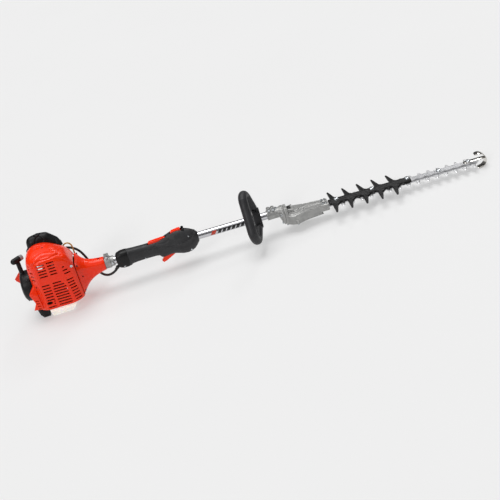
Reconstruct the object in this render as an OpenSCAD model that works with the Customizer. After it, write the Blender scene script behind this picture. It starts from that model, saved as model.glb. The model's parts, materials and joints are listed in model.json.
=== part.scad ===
// Petrol pole hedge trimmer with a fixed, straight gear case.
// The model is drawn in the pole's own frame: X runs along the pole towards the blades, Y points to
// the operator's left and Z up, with the zero point on the pole axis over the middle of the fuel tank.
// at_rest() then leans the whole tool so that its tank and its tip guard stand on one floor, at Z = 0.

/* [Pole] */
// Outer diameter of the pole tube
pole_d = 25.4; // [24:0.1:26]
// Wall thickness of the pole tube
pole_wall = 1.6; // [1.2:0.1:2]
// Diameter of the drive shaft inside the pole
shaft_d = 8; // [7:0.5:8]

/* [Engine] */
// Cylinder bore
bore_d = 34; // [33:0.1:34]
// Piston stroke
stroke = 28; // [26:1:28]
// Length of the connecting rod between its two eyes
rod_length = 55; // [54:1:56]
// Outer radius of the flywheel
flywheel_r = 44; // [42:0.5:44]

/* [Gear case] */
// Number of teeth on the bevel pinion
pinion_teeth = 12; // [12:1:12]
// Number of teeth on the crank gear
gear_teeth = 30; // [30:1:30]
// Distance of the crank gear's axis along the pole
gear_x = 810; // [808:1:812]
// Throw of each eccentric, which is half a blade's stroke
throw = 8; // [7:0.5:8]

/* [Blades] */
// Distance between one tooth and the next along a blade
tooth_pitch = 32.1; // [31:0.1:33]
// Reach of a tooth tip from the blade's middle line
tooth_reach = 35.7; // [34:0.1:37]
// Thickness of one blade
blade_t = 2; // [1.5:0.1:2]
// Distance between one guard spike and the next
spike_pitch = 51.2; // [50:0.1:52]
// Reach of a guard spike from the blade's middle line
spike_reach = 74; // [70:1:78]

/* [Handles] */
// Distance of the loop handle's clamp along the pole
loop_x = 685; // [660:1:690]
// Roll of the loop handle about the pole, towards the operator's right
loop_roll = 55; // [0:1:60]
// Lean of the loop handle back towards the operator
loop_lean = 18; // [0:1:20]
// Radius of the loop handle's grip bar
loop_bar_r = 15; // [13:0.5:15]

/* [Stance] */
// Lean of the pole, down towards the blades
lean = 2.25; // [2.2:0.05:2.3]
// Height of the pole axis over the floor at the middle of the tank
axis_h = 105; // [104:0.5:106]

/* [Hidden] */
$fn = 48;
GAP = 0.3;
FIT = 0.05;
pole_r = pole_d / 2;
shaft_r = shaft_d / 2;
bore_r = bore_d / 2;
throw_crank = stroke / 2;
// Engine stations along the pole
cyl_x = -5;
flange_screws = [[-42, 40], [42, 40], [-42, -52], [42, -52]];
handle_screws = [[228, -23], [300, -19], [452, -31], [452, 19]];
shroud_screws = [[-30, -20], [10, -20]];
cowl_screw = [66, 58];
case_x = [-46, 38];
seam_x = 79;
nose_x = 169;
starter_x = [-108, -70];
// Starter grip: its place along the pole, how far its bar is turned, and half of the bar without its ends
grip_x = -95;
grip_turn = -54;
grip_half = 12;
// Crank gear and eccentrics
pitch_r = 28;
pinion_pitch_r = pitch_r * pinion_teeth / gear_teeth;
gear_face_z = -13;
gear_seam_x = 775;
gear_lobe_r = 37.5;
upper_blade_z = -26;
lower_blade_z = -28.3;
bar_z = -23.7;
bar_h = 5;
blade_bolt_x = [952, 1075, 1196, 1305, 1407];
tooth_first_x = 988.2;
tooth_stagger = -18.8;
spike_first_x = 941;
bar_end_x = 1436;
tip_x = 1441;
tip_r = 27;
// Loop handle, in its own plane
loop_half = 76;
loop_shoulder = 74;
loop_top = 103;
loop_arm_a = 44;
loop_arm = 52;
// Reel radius at the rope
reel_r = 22;
// Throttle cable, from the throttle handle under the nose and back to the carburettor
cable_r = 4;
cable_points = [
    [207, -9, -20], [196, -10, -31], [182, -8, -40], [166, -1, -46], [150, 12, -46],
    [136, 28, -38], [124, 43, -24], [114, 54, -6], [105, 61, 14], [95, 66, 32], [82, 67, 47],
    [66, 66, 57], [50, 62, 63], [34, 59, 66], [19, 59, 66]];
// Fuel line, from the carburettor over to the tank
fuel_r = 2.5;
fuel_points = [
    [19, 52, 52], [28, 51, 52.5], [37, 51.5, 56], [43.5, 52.5, 63], [48, 54, 72], [54.5, 55.5, 78.5],
    [62, 56.5, 80.5], [70, 57, 78], [75.5, 57, 71], [77.5, 57, 62], [77.5, 57, 40], [76, 57, 14],
    [71, 56, -14], [61, 54, -40], [48, 50, -60], [40, 46, -71.6]];

// ---- Frames and shared shapes ----

// The pole's frame, leaned so that the tank and the tip guard stand on the floor
module at_rest() translate([0, 0, axis_h]) rotate([0, lean, 0]) children();

// The loop handle's frame: its clamp on the pole, rolled to the operator's right
module at_loop() translate([loop_x, 0, 0]) rotate([loop_roll, 0, 0]) children();

// Solid rods along each axis
module rod_x(x0, x1, r, y = 0, z = 0)
    translate([x0, y, z]) rotate([0, 90, 0]) cylinder(r = r, h = x1 - x0);
module rod_y(y0, y1, r, x = 0, z = 0)
    translate([x, y1, z]) rotate([90, 0, 0]) cylinder(r = r, h = y1 - y0);
module rod_z(z0, z1, r, x = 0, y = 0) translate([x, y, z0]) cylinder(r = r, h = z1 - z0);

// A tube along X
module tube_x(x0, x1, r_out, r_in) difference() {
    rod_x(x0, x1, r_out);
    rod_x(x0 - 1, x1 + 1, r_in);
}

// A box between two corners
module block(low, high) translate(low) cube(high - low);

// Flat outlines raised along one axis: (y, z) along X, (x, z) along Y and (x, y) along Z
module prism_x(x0, x1) translate([x0, 0, 0]) rotate([90, 0, 90]) linear_extrude(x1 - x0) children();
module prism_y(y0, y1) translate([0, y1, 0]) rotate([90, 0, 0]) linear_extrude(y1 - y0) children();
module prism_z(z0, z1) translate([0, 0, z0]) linear_extrude(z1 - z0) children();

// A plate with round corners, its two corners given in its own plane
module round_plate(low, high, r) {
    block2(low + [r, 0], high - [r, 0]);
    block2(low + [0, r], high - [0, r]);
    for (x = [low.x + r, high.x - r], y = [low.y + r, high.y - r]) translate([x, y]) circle(r);
}
module block2(low, high) translate(low) square(high - low);

// One thin upright slice of a moulded body, with a round top and bottom, for hull()
module slice(x, half_w, top, low) {
    for (z = [top - half_w, low + half_w])
        translate([x, 0, z]) rotate([0, 90, 0]) cylinder(r = half_w, h = 0.4, $fn = 32);
}

// A hose swept along a row of points
function unit(v) = v / norm(v);
function tangent(p, i) = unit(p[min(i + 1, len(p) - 1)] - p[max(i - 1, 0)]);
function ring(p, i, r, sides) = let (t = tangent(p, i), s = unit(cross(t, [0.1, 0.2, 1])), u = cross(s, t))
    [for (k = [0:sides - 1]) p[i] + r * (cos(360 * k / sides) * s + sin(360 * k / sides) * u)];
module hose(p, r, sides) {
    last = (len(p) - 1) * sides;
    polyhedron(
        points = [for (i = [0:len(p) - 1]) each ring(p, i, r, sides)],
        faces = concat(
            [for (i = [0:len(p) - 2], k = [0:sides - 1])
                [i * sides + k, i * sides + (k + 1) % sides, (i + 1) * sides + (k + 1) % sides]],
            [for (i = [0:len(p) - 2], k = [0:sides - 1])
                [i * sides + k, (i + 1) * sides + (k + 1) % sides, (i + 1) * sides + k]],
            [[for (k = [sides - 1:-1:0]) k]],
            [[for (k = [0:sides - 1]) last + k]]));
}

// A cap screw that points along -Z from its seat
module cap_screw(r, length, head_h) {
    difference() {
        rod_z(0, head_h, r * 1.7);
        translate([0, 0, head_h * 0.45]) cylinder(r = r * 0.9, h = head_h, $fn = 6);
    }
    rod_z(-length, 0, r);
}

// ---- Pole and drive line ----

module pole_tube() color("silver") at_rest() tube_x(122, 760, pole_r, pole_r - pole_wall);

module shaft_bushes() color("dimgray") at_rest() for (x = [170, 330, 490, 640, 740])
    tube_x(x - 9, x + 9, pole_r - pole_wall, shaft_r + FIT);

module drive_shaft() color("gray") at_rest() rod_x(99, 771.5, shaft_r);

module clutch_drum() color("darkgray") at_rest() difference() {
    union() {
        rod_x(70, 88, 31);
        rod_x(88, 117, 6);
    }
    rod_x(69, 85, 28);
    rod_x(98.5, 118, shaft_r + FIT);
}

// Flange and nose of the orange clutch housing, with its drum chamber, bearing seat and pole socket
module clutch_housing() color("orangered") at_rest() difference() {
    union() {
        hull() for (y = [-27, 27], z = [25, -39])
            translate([seam_x, y, z]) rotate([0, 90, 0]) cylinder(r = 26, h = 4, $fn = 32);
        hull() {
            slice(82, 42, 42, -54);
            slice(97, 34, 35, -46);
        }
        hull() {
            slice(97, 34, 35, -46);
            slice(122, 24.5, 25, -32);
        }
        hull() {
            slice(122, 24.5, 25, -32);
            slice(nose_x - 0.4, 21, 21.5, -22);
        }
    }
    rod_x(seam_x - 1, 96, 33);
    rod_x(95, 99, 18);
    rod_x(98, 111, 14);
    rod_x(110, 123, 9);
    rod_x(122, nose_x + 1, pole_r + FIT);
    rod_z(pole_r, 40, 4.6, x = 152);
    for (p = flange_screws) rod_x(seam_x - 1, seam_x + 5, 2.3, y = p.x, z = p.y);
}

module housing_clamp() color("lightgray") at_rest() difference() {
    union() {
        rod_x(170, 187, 20);
        rod_x(187, 199, 17);
        block([171, -8, 10], [186, 8, 29]);
    }
    rod_x(169, 200, pole_r + FIT);
    block([169, -1.2, 0], [200, 1.2, 31]);
    rod_y(-9, 9, 2.7, x = 178.5, z = 22.5);
    rod_y(-18, -12, 2.6, x = 193);
}

// Clamp screws of the pole's three clamps and the screws of the gear case
module socket_screws() color("silver") at_rest() {
    translate([178.5, -8, 22.5]) rotate([90, 0, 0]) cap_screw(2.5, 16, 4);
    translate([193, -17, 0]) rotate([90, 0, 0]) cap_screw(2.5, 4, 3);
    at_loop() for (x = [-6, 6], y = [-23, 23]) translate([x, y, 20.2]) cap_screw(2.5, 36, 4);
    for (x = [727, 741]) translate([x, -8, 20.5]) rotate([90, 0, 0]) cap_screw(2.5, 16, 4);
    translate([751, 0, 16]) cap_screw(2.5, 3, 3.5);
    for (x = [905, 915], y = [-12, 12]) translate([x, y, -11]) cap_screw(2.5, 7.6, 3);
    for (a = [30:60:330]) translate([gear_x + gear_lobe_r * cos(a), gear_lobe_r * sin(a), -43])
        rotate([180, 0, 0]) cap_screw(2, 10, 2.5);
    for (y = [-19.5, 19.5], z = [-4, -32]) translate([766, y, z]) rotate([0, -90, 0]) cap_screw(2, 14, 3);
}

module ball_bearings() color("lightsteelblue") at_rest() {
    tube_x(100, 109, 14 - FIT, 6 + FIT);
    tube_x(-40, -28, 16 - FIT, 7.5 + FIT);
    tube_x(16, 28, 16 - FIT, 7.5 + FIT);
    tube_x(763, 770, 11 - FIT, 6 + FIT);
    translate([gear_x, 0, 0]) difference() {
        union() {
            rod_z(-39.7, -33, 12 - FIT);
            rod_z(-9, -6.2, 10 - FIT);
        }
        rod_z(-41, -5, 6 + FIT);
    }
}

// ---- Engine ----

module crankcase() color("lightgray") at_rest() difference() {
    union() {
        rod_x(case_x[0], case_x[1], 33);
        block([cyl_x - 25, -27, 0], [cyl_x + 25, 27, 36]);
    }
    rod_x(-20, 10, 27);
    rod_x(-40.1, -19, 16);
    rod_x(9, 28.1, 16);
    rod_x(case_x[0] - 1, case_x[1] + 1, 9);
    rod_z(0, 37, bore_r + 1, x = cyl_x);
}

module cylinder_block() color("silver") at_rest() difference() {
    union() {
        rod_z(36, 92, 21, x = cyl_x);
        block([cyl_x - 24, -26, 36], [cyl_x + 24, 26, 41]);
        block([cyl_x - 15, -37, 47], [cyl_x + 15, 34, 67]);
        for (z = [72:6:96]) prism_z(z, z + 2) round_plate([cyl_x - 32, -33], [cyl_x + 32, 33], 10);
        rod_z(90, 98, 13, x = cyl_x);
    }
    rod_z(35, 83.5, bore_r + FIT, x = cyl_x);
    rod_z(83, 99, 5, x = cyl_x);
    rod_z(93, 99, 9.5, x = cyl_x);
    rod_y(-38, 0, 8, x = cyl_x, z = 57);
    rod_y(0, 35, 7, x = cyl_x, z = 57);
}

module piston() color("gainsboro") at_rest() translate([cyl_x, 0, rod_length - throw_crank]) {
    difference() {
        rod_z(-14, 13, bore_r);
        difference() {
            rod_z(-15, 9, bore_r - 2.5);
            for (x = [-20, 5]) block([x, -7, -9], [x + 15, 7, 10]);
        }
        for (z = [5.5, 9]) difference() {
            rod_z(z, z + 1.2, bore_r + 1);
            rod_z(z - 1, z + 3, bore_r - 1.4);
        }
        rod_x(-18, 18, 4.5);
    }
    rod_x(-15.5, 15.5, 4.45);
}

module connecting_rod() color("slategray") at_rest() translate([cyl_x, 0, 0]) difference() {
    union() {
        rod_x(-3.5, 3.5, 10, z = -throw_crank);
        rod_x(-3.5, 3.5, 7.5, z = rod_length - throw_crank);
        block([-2.5, -4.5, -throw_crank], [2.5, 4.5, rod_length - throw_crank]);
    }
    rod_x(-4, 4, 6 + FIT, z = -throw_crank);
    rod_x(-4, 4, 4.5, z = rod_length - throw_crank);
}

// Built-up crankshaft; its pin is two short stubs, one on each side of the connecting rod
module crankshaft() color("gray") at_rest() {
    web_gap = 5;
    web_w = 8;
    for (side = [-1, 1]) difference() {
        union() {
            mid = cyl_x + side * (web_gap + web_w / 2);
            rod_x(mid - web_w / 2, mid + web_w / 2, 24);
            stub = cyl_x + side * 4.4;
            rod_x(stub - 0.6, stub + 0.6, 6, z = -throw_crank);
        }
        for (y = [-27, 27]) rod_x(cyl_x - 20, cyl_x + 20, 17, y = y, z = -19);
    }
    rod_x(-66, cyl_x - 13, 7.5);
    rod_x(cyl_x + 13, 46, 7.5);
    rod_x(46, 83, 6);
    difference() {
        rod_x(-66, -54, 22);
        rod_x(-67, -57, 18);
        for (a = [0:60:300]) rotate([a, 0, 0]) block([-70, -2, 16], [-60, 2, 24]);
    }
}

module flywheel() color("lightgray") at_rest() difference() {
    union() {
        rod_x(48, 53, flywheel_r);
        rod_x(48, 66, 13);
        for (a = [0:22.5:337.5]) rotate([a, 0, 0]) block([52, -1, 22], [64, 1, 42]);
        for (a = [90, 270]) rotate([a, 0, 0]) block([52, -7, 32], [63, 7, 42.5]);
    }
    rod_x(47, 67, 6 + FIT);
}

// Two centrifugal shoes on a carrier, drawn in by a ring spring
module clutch_shoes() color("darkslategray") at_rest() {
    difference() {
        rod_x(73, 83, 26.8);
        rod_x(72, 84, 11);
        for (a = [0, 180]) rotate([a, 0, 0]) block([72, -3, 0], [84, 3, 30]);
        difference() {
            rod_x(76.5, 79.5, 25.5);
            rod_x(76, 80, 19);
        }
    }
    difference() {
        rod_x(72.5, 82.5, 10.5);
        rod_x(72, 83, 6 + FIT);
    }
    tube_x(77, 79, 25, 19.6);
}

module fan_housing() color("dimgray") at_rest() difference() {
    rod_x(40, seam_x - GAP, 50);
    rod_x(43, seam_x, 47);
    rod_x(39, 44, 38);
    block([42, -24, 20], [68, 24, 52]);
}

module ignition_coil() color("black") at_rest() {
    block([51, -9, 48.5], [61, 9, 68]);
    for (y = [-1, 1]) block([53, min(y * 16, y * 9), 44.6], [59, max(y * 16, y * 9), 58]);
    for (y = [-1, 1]) block([53, min(y * 16, y * 23.5), 53], [59, max(y * 16, y * 23.5), 58]);
    block([44, -4, 60], [51, 4, 66]);
}

module spark_plug() color("white") at_rest() translate([cyl_x, 0, 0]) {
    rod_z(84, 93.5, 5 - FIT);
    translate([0, 0, 93.5]) cylinder(r = 8, h = 8, $fn = 6);
    rod_z(101.5, 112, 4.8);
    rod_z(112, 116, 2);
}

module plug_cap() color("black") at_rest() difference() {
    union() {
        rod_z(104, 120.5, 7.5, x = cyl_x);
        rod_x(cyl_x, 18, 5, z = 114);
    }
    rod_z(103, 112.3, 5, x = cyl_x);
    rod_z(112, 116.5, 2.2, x = cyl_x);
}

module muffler() color("darkgray") at_rest() difference() {
    union() {
        prism_y(-67, -53.4) round_plate([-40, -54], [29, 60], 9);
        prism_y(-53.4, -52.6) round_plate([-43, -57], [32, 63], 11);
        prism_y(-52.6, -41) round_plate([-39, -53], [28, 59], 9);
        block([cyl_x - 15, -41, 47], [cyl_x + 15, -37.2, 67]);
        rod_y(-71, -66, 7, x = -33, z = -44);
    }
    prism_y(-65.5, -54) round_plate([-38.5, -52.5], [27.5, 58.5], 8);
    prism_y(-52, -42.5) round_plate([-37.5, -51.5], [26.5, 57.5], 8);
    rod_y(-43, -36, 8, x = cyl_x, z = 57);
    rod_y(-72, -64, 5.5, x = -33, z = -44);
}
module carburettor() color("silver") at_rest() difference() {
    union() {
        block([cyl_x - 15, 34.2, 47], [cyl_x + 15, 43, 67]);
        prism_y(43, 70) round_plate([cyl_x - 19, 40], [18, 76], 3);
        rod_z(36, 40, 11, x = 0, y = 58);
        rod_x(17, 21, 5, y = 59, z = 66);
    }
    rod_y(34, 71, 7.5, x = cyl_x, z = 57);
    rod_x(18.3, 22, cable_r + 0.4, y = 59, z = 66);
    rod_z(35.5, 39.7, 7.6, x = 0, y = 58);
}

module purge_bulb() color("lightyellow") at_rest() translate([0, 58, 0]) {
    rod_z(33.4, 35.2, 7.2);
    translate([0, 0, 33.4]) difference() {
        sphere(7.2);
        rod_z(0, 8, 8);
    }
}

module air_cleaner_base() color("dimgray") at_rest() difference() {
    union() {
        prism_z(82, 86) round_plate([-56, 40], [48, 85], 10);
        block([cyl_x - 14, 70.2, 46], [cyl_x + 14, 76, 83]);
        rod_y(76, 80, 2.5, x = -8, z = 53);
    }
    rod_y(70, 74, 8, x = cyl_x, z = 58);
    rod_z(58, 87, 1.9, x = cyl_x, y = 72.1);
}

module air_filter() color("gold") at_rest() prism_z(86.2, 108) round_plate([-44, 48], [36, 74], 9);

// Solid form of the air cleaner's cover, drawn in by the given wall
module cover_form(wall) hull() {
    translate([0, 0, 86.2 - wall / 2]) linear_extrude(2)
        round_plate([-60 + wall, 35.2 + wall], [56 - wall, 88 - wall], 14 - wall, $fn = 32);
    for (bump = [[-38, 114, 22], [-16, 120, 20], [4, 117, 20], [34, 103, 17]])
        translate([bump[0], 62, bump[1]]) sphere(r = bump[2] - wall, $fn = 32);
}

// Domed black cover over the air filter, with a well for its knob
module air_cleaner_cover() color("#2b2b2b") at_rest() difference() {
    cover_form(0);
    difference() {
        cover_form(2.5);
        rod_z(131.5, 150, 15, x = -18, y = 61);
    }
    rod_z(134, 150, 12.5, x = -18, y = 61);
    rod_z(120, 150, 3.2, x = -18, y = 61);
}

module air_cleaner_knob() color("#222222") at_rest() translate([-18, 61, 0]) {
    difference() {
        rod_z(134.5, 139, 10);
        for (a = [0:60:300]) rotate([0, 0, a]) rod_z(134, 140, 2.4, x = 11);
    }
    rod_z(118, 135, 3);
}

module choke_lever() color("#222222") at_rest() difference() {
    union() {
        prism_y(76.5, 79) round_plate([-42, 49.5], [-8, 56.5], 3.4);
        rod_y(76.5, 79, 5.5, x = -8, z = 53);
        rod_y(76.5, 84, 5, x = -41, z = 53);
    }
    rod_y(76, 80, 2.5 + FIT, x = -8, z = 53);
}

// ---- Covers ----

// Outer form of the orange cowl: its flat near face, its broad middle and its top
module cowl_form() hull() {
    prism_y(-76, -75) polygon([[-38, 106], [32, 96], [42, 60], [47, -62], [40, -70], [-40, -72], [-47, -64]]);
    prism_y(-60, -59) polygon([[-54, 116], [30, 114], [58, 92], [78, 30], [82, -50], [70, -70], [-60, -73],
        [-80, -60]]);
    prism_y(-40, -39) polygon([[-66, 124], [-50, 128], [26, 126], [62, 98], [84, 40], [84, -56], [74, -70],
        [-78, -73], [-88, -62], [-72, 20]]);
    prism_y(33, 34) polygon([[-64, 110], [-50, 128], [20, 128], [62, 96], [84, 40], [84, -60], [74, -70],
        [-66, -73], [-70, 0]]);
}

// The cowl as a shell, open at the front and on the carburettor's side
module cowl_shell() difference() {
    cowl_form();
    translate([-2, 6, 22]) scale(0.955) translate([2, -6, -22]) cowl_form();
    block([seam_x - GAP, -90, -90], [100, 90, 150]);
    block([-100, 31, -90], [100, 40, 100]);
    block([-110, -90, -90], [-69.7, 90, 150]);
}

module engine_cover() color("orangered") at_rest() difference() {
    cowl_shell();
    block([-120, -100, 88], [100, 100, 150]);
    for (z = [38:8:70]) {
        block([-32, -90, z], [-6, -64, z + 3.4]);
        block([0, -90, z], [24, -64, z + 3.4]);
    }
    for (z = [-60:8:4]) {
        if (z > -34) block([-40, -90, z], [-16, -64, z + 3.4]);
        block([-10, -90, z], [36, -64, z + 3.4]);
    }
    for (z = [-56:8:40]) block([58, -80, z], [76, -40, z + 3.6]);
    rod_y(-90, -60, 9, x = -33, z = -44);
    rod_x(39, 84, 50 + GAP);
    rod_y(-90, -60.5, 5, x = cowl_screw.x, z = cowl_screw.y);
    rod_y(-61, -40, 2.6, x = cowl_screw.x, z = cowl_screw.y);
}

module top_shroud() color("orangered") at_rest() difference() {
    cowl_shell();
    block([-120, -100, -100], [100, 100, 88 + GAP]);
    for (p = shroud_screws) {
        rod_z(110, 130, 2.3, x = p.x, y = p.y);
        rod_z(125, 140, 4.2, x = p.x, y = p.y);
    }
}

// Screws of the engine covers and of the throttle handle
module cover_screws() color("silver") at_rest() {
    translate([cowl_screw.x, -60.5, cowl_screw.y]) rotate([90, 0, 0]) cap_screw(2.5, 8, 3.5);
    for (p = shroud_screws) translate([p.x, p.y, 125]) cap_screw(2.2, 6, 2.5);
    for (p = flange_screws) translate([seam_x + 4, p.x, p.y]) rotate([0, 90, 0]) cap_screw(2.2, 4, 2.5);
    rod_z(pole_r + FIT, 19, 4.4, x = 152);
    for (p = handle_screws)
        translate([p.x, -13.5, p.y]) rotate([90, 0, 0]) cap_screw(1.8, 20, 2);
}

// ---- Recoil starter ----

module starter_housing() color("#262626") at_rest() difference() {
    union() {
        rod_x(starter_x[0] + 6, starter_x[1], 51);
        rod_x(starter_x[0], starter_x[0] + 6, 46);
        rod_z(40, 54, 7, x = grip_x);
    }
    difference() {
        rod_x(starter_x[0] + 3, starter_x[1] + 1, 47.5);
        rod_x(starter_x[0] + 2, -79, 6);
    }
    rod_z(40, 55, 2.4, x = grip_x);
}

module starter_reel() color("dimgray") at_rest() difference() {
    union() {
        for (x = [-101, -89]) rod_x(x, x + 2, 30);
        rod_x(-101, -87, 17);
        rod_x(-99, -89, reel_r - 0.4);
        rod_x(-87, -80, 12);
    }
    rod_x(-102, -79, 6 + FIT);
}

module starter_rope() color("black") at_rest() rod_z(32.5, 61, 1.75, x = grip_x);

// T-shaped pull grip above the starter
module starter_grip() color("#202020") at_rest() translate([grip_x, 0, 0]) difference() {
    union() {
        rod_z(54.3, 96, 6);
        for (z = [58:6:82]) rod_z(z, z + 3, 7.5);
        rotate([0, 0, grip_turn]) {
            rod_y(-grip_half, grip_half, 10, z = 100);
            for (y = [-grip_half, grip_half]) translate([0, y, 100]) sphere(10);
        }
    }
    rod_z(54, 61.1, 1.8);
}

module starter_guard() color("orangered") at_rest() difference() {
    hull() {
        prism_y(24, 25) polygon([[-108.3, 28], [-108.3, -26], [-112, -22], [-112, 24]]);
        prism_y(44, 45) polygon([[-108.3, 38], [-108.3, -20], [-126, 2], [-126, 12]]);
    }
    block([-108.3, 0, -60], [-90, 60, 60]);
}

// ---- Fuel ----

module tank_form(grow) hull() {
    for (x = [-34 - grow, 38 + grow], y = [-48 - grow, 48 + grow])
        translate([x, y, -74.6]) cylinder(r = 9, h = 1, $fn = 32);
    for (x = [-34 - grow, 36 + grow], y = [-44 - grow, 44 + grow])
        translate([x, y, -108]) cylinder(r = 8, h = 1, $fn = 32);
}

module fuel_tank() color("ivory") difference() {
    at_rest() difference() {
        union() {
            tank_form(0);
            rod_y(50, 66, 14, x = 4, z = -90);
        }
        intersection() {
            tank_form(-2.5);
            block([-80, -80, -100.5], [80, 80, -76.5]);
        }
        rod_y(50, 67, 11, x = 4, z = -90);
    }
    block([-200, -200, -20], [200, 200, 0]);
}

module fuel_cap() color("#202020") at_rest() difference() {
    union() {
        rod_y(66.4, 76, 17.5, x = 4, z = -90);
        rod_y(57, 67, 10.7, x = 4, z = -90);
    }
    for (a = [0:30:330]) translate([4 + 18.5 * cos(a), 0, -90 + 18.5 * sin(a)]) rod_y(66, 77, 2);
}

module fuel_line() color("#d8a860") at_rest() hose(fuel_points, fuel_r, 8);

module rear_foot() color("#1f1f1f") difference() {
    at_rest() difference() {
        prism_y(-44, 44)
            polygon([[-82, -74.3], [-48.5, -74.3], [-46, -86], [-50, -112], [-72, -112], [-82, -92]]);
        prism_y(-60, 60) polygon([[-70, -78], [-56, -78], [-58, -96], [-66, -96]]);
    }
    block([-200, -200, -20], [200, 200, 0]);
}

module throttle_cable() color("black") at_rest() hose(cable_points, cable_r, 10);

// ---- Throttle handle ----

module handle_form() {
    hull() {
        slice(207, 15, 16, -18);
        slice(228, 19, 27, -33);
        slice(256, 18, 25, -27);
    }
    hull() {
        slice(240, 18, 26, -27);
        slice(344, 18, 24, -26);
    }
    hull() {
        slice(338, 18, 24, -26);
        slice(352, 18, 25, -38);
        slice(400, 22, 40, -36);
    }
    hull() {
        slice(398, 22, 40, -36);
        slice(425, 27, 46, -46);
        slice(455, 25, 34, -46);
        slice(484.6, 14, 15, -16);
    }
}

module handle_hollow() {
    rod_x(200, 490, pole_r + FIT);
    block([345, -7.3, -60], [414, 7.3, -5]);
    block([316, -7.3, 5], [383, 7.3, 60]);
    block([396, -8.3, 15], [446, 8.3, 60]);
    rod_x(200, 240, cable_r + 0.4, y = -9, z = -20);
    for (p = handle_screws) {
        rod_y(-13.5, 10, 1.8 + FIT, x = p.x, z = p.y);
        rod_y(-40, -13.5, 3.6, x = p.x, z = p.y);
    }
}

module handle_right() color("#343434") at_rest() difference() {
    handle_form();
    block([190, 0, -80], [500, 60, 80]);
    handle_hollow();
}

module handle_left() color("#343434") at_rest() {
    difference() {
        handle_form();
        block([190, -60, -80], [500, FIT, 80]);
        handle_hollow();
    }
    rod_y(-7, 8, 2, x = 404, z = -27);
    rod_y(-7, 8, 2, x = 374, z = 20.5);
}

module throttle_trigger() color("orangered") at_rest() difference() {
    union() {
        prism_y(-6.5, 6.5)
            polygon([[402, -32.5], [362, -54], [352, -57], [347, -50], [358, -37], [384, -22], [404, -21]]);
        rod_y(-6.5, 6.5, 6, x = 404, z = -27);
    }
    rod_y(-7, 7, 2 + FIT, x = 404, z = -27);
}

module lockout_lever() color("orangered") at_rest() difference() {
    union() {
        prism_y(-6.5, 6.5) polygon([
            [320, 21.5], [368, 16.5], [374, 15.5], [379, 20], [379, 30], [372, 32], [324, 29], [320, 26]]);
        rod_y(-6.5, 6.5, 5, x = 374, z = 20.5);
    }
    rod_y(-7, 7, 2 + FIT, x = 374, z = 20.5);
}

module stop_switch() color("orangered") at_rest() difference() {
    prism_y(-7.5, 7.5) polygon([[399, 20], [431, 20], [434, 47], [428, 49], [404, 45], [399, 40]]);
    for (x = [408:6:426]) block([x, -8, 43.6 + (x - 404) / 8], [x + 2.4, 8, 52]);
}

// ---- Loop handle ----

// Centre line of the closed loop in its own plane: half width, shoulder height and grip height

// The grip bar, one bend on each side and an arm that runs on from each bend to the clamp
module loop_ring() {
    bend = loop_top - loop_shoulder;
    turn = 90 + loop_arm_a;
    rod_y(bend - loop_half, loop_half - bend, loop_bar_r, z = loop_top);
    for (side = [0, 1]) mirror([0, side, 0]) {
        translate([0, loop_half - bend, loop_shoulder]) rotate([90, 0, 90]) rotate([0, 0, -loop_arm_a])
            rotate_extrude(angle = turn) translate([bend, 0]) circle(loop_bar_r - 0.1);
        translate([0, loop_half - bend + bend * cos(loop_arm_a), loop_shoulder - bend * sin(loop_arm_a)])
            rotate([180 - loop_arm_a, 0, 0]) cylinder(r = loop_bar_r, h = loop_arm);
    }
}

module loop_handle() color("#303030") at_rest() at_loop() difference() {
    union() {
        rotate([0, -loop_lean, 0]) loop_ring();
        block([-13, -34, GAP / 2], [13, 34, 20]);
    }
    rod_x(-40, 40, pole_r + FIT);
    block([-60, -60, -60], [60, 60, GAP / 2]);
    for (x = [-6, 6], y = [-23, 23]) {
        rod_z(-1, 22, 2.5 + FIT, x = x, y = y);
        rod_z(20.2, 60, 5, x = x, y = y);
    }
}

module loop_clamp() color("#262626") at_rest() at_loop() difference() {
    union() {
        block([-13, -34, -12], [13, 34, -GAP / 2]);
        rod_x(-13, 13, 20);
    }
    rod_x(-14, 14, pole_r + FIT);
    block([-14, -40, -GAP / 2], [14, 40, 30]);
    for (x = [-6, 6], y = [-23, 23]) rod_z(-13, 1, 2.5 + FIT, x = x, y = y);
}

// ---- Gear case ----

// Outline of the joint between the rear and the main casting
module gear_flange() polygon([
    [-16, 15], [16, 15], [25, 4], [25, -36], [20, -40], [-20, -40], [-25, -36], [-25, 4]]);

module gearcase_rear() color("#b9b5ac") at_rest() difference() {
    union() {
        rod_x(718, 770, 17);
        block([720, -8, 10], [748, 8, 27]);
        hull() {
            translate([757, 0, 0]) rotate([0, 90, 0]) cylinder(r = 17, h = 1, $fn = 32);
            prism_x(768, gear_seam_x - 0.2) gear_flange();
        }
    }
    rod_x(717, 760.2, pole_r + FIT);
    rod_x(760, 780, 9);
    rod_x(762.8, 780, 11);
    block([717, -1.2, 5], [752, 1.2, 28]);
    for (x = [727, 741]) rod_y(-9, 9, 2.6, x = x, z = 20.5);
    rod_z(12, 18, 2.6, x = 751);
    rod_z(16, 22, 4.5, x = 751);
    for (y = [-19.5, 19.5], z = [-4, -32]) {
        rod_x(765, 780, 2 + FIT, y = y, z = z);
        rod_x(740, 766, 3.8, y = y, z = z);
    }
}

// Lobes that take the screws of the bottom cover
module gear_lobes(z0, z1) for (a = [30:60:330])
    rod_z(z0, z1, 5, x = gear_x + gear_lobe_r * cos(a), y = gear_lobe_r * sin(a));
module gear_lobe_holes(z0, z1, r) for (a = [30:60:330])
    rod_z(z0, z1, r, x = gear_x + gear_lobe_r * cos(a), y = gear_lobe_r * sin(a));
module neck_outline(edge, waist, mouth, end_x) polygon([
    [gear_x, -edge], [850, -waist], [end_x, -mouth], [end_x, mouth], [850, waist], [gear_x, edge]]);

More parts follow.
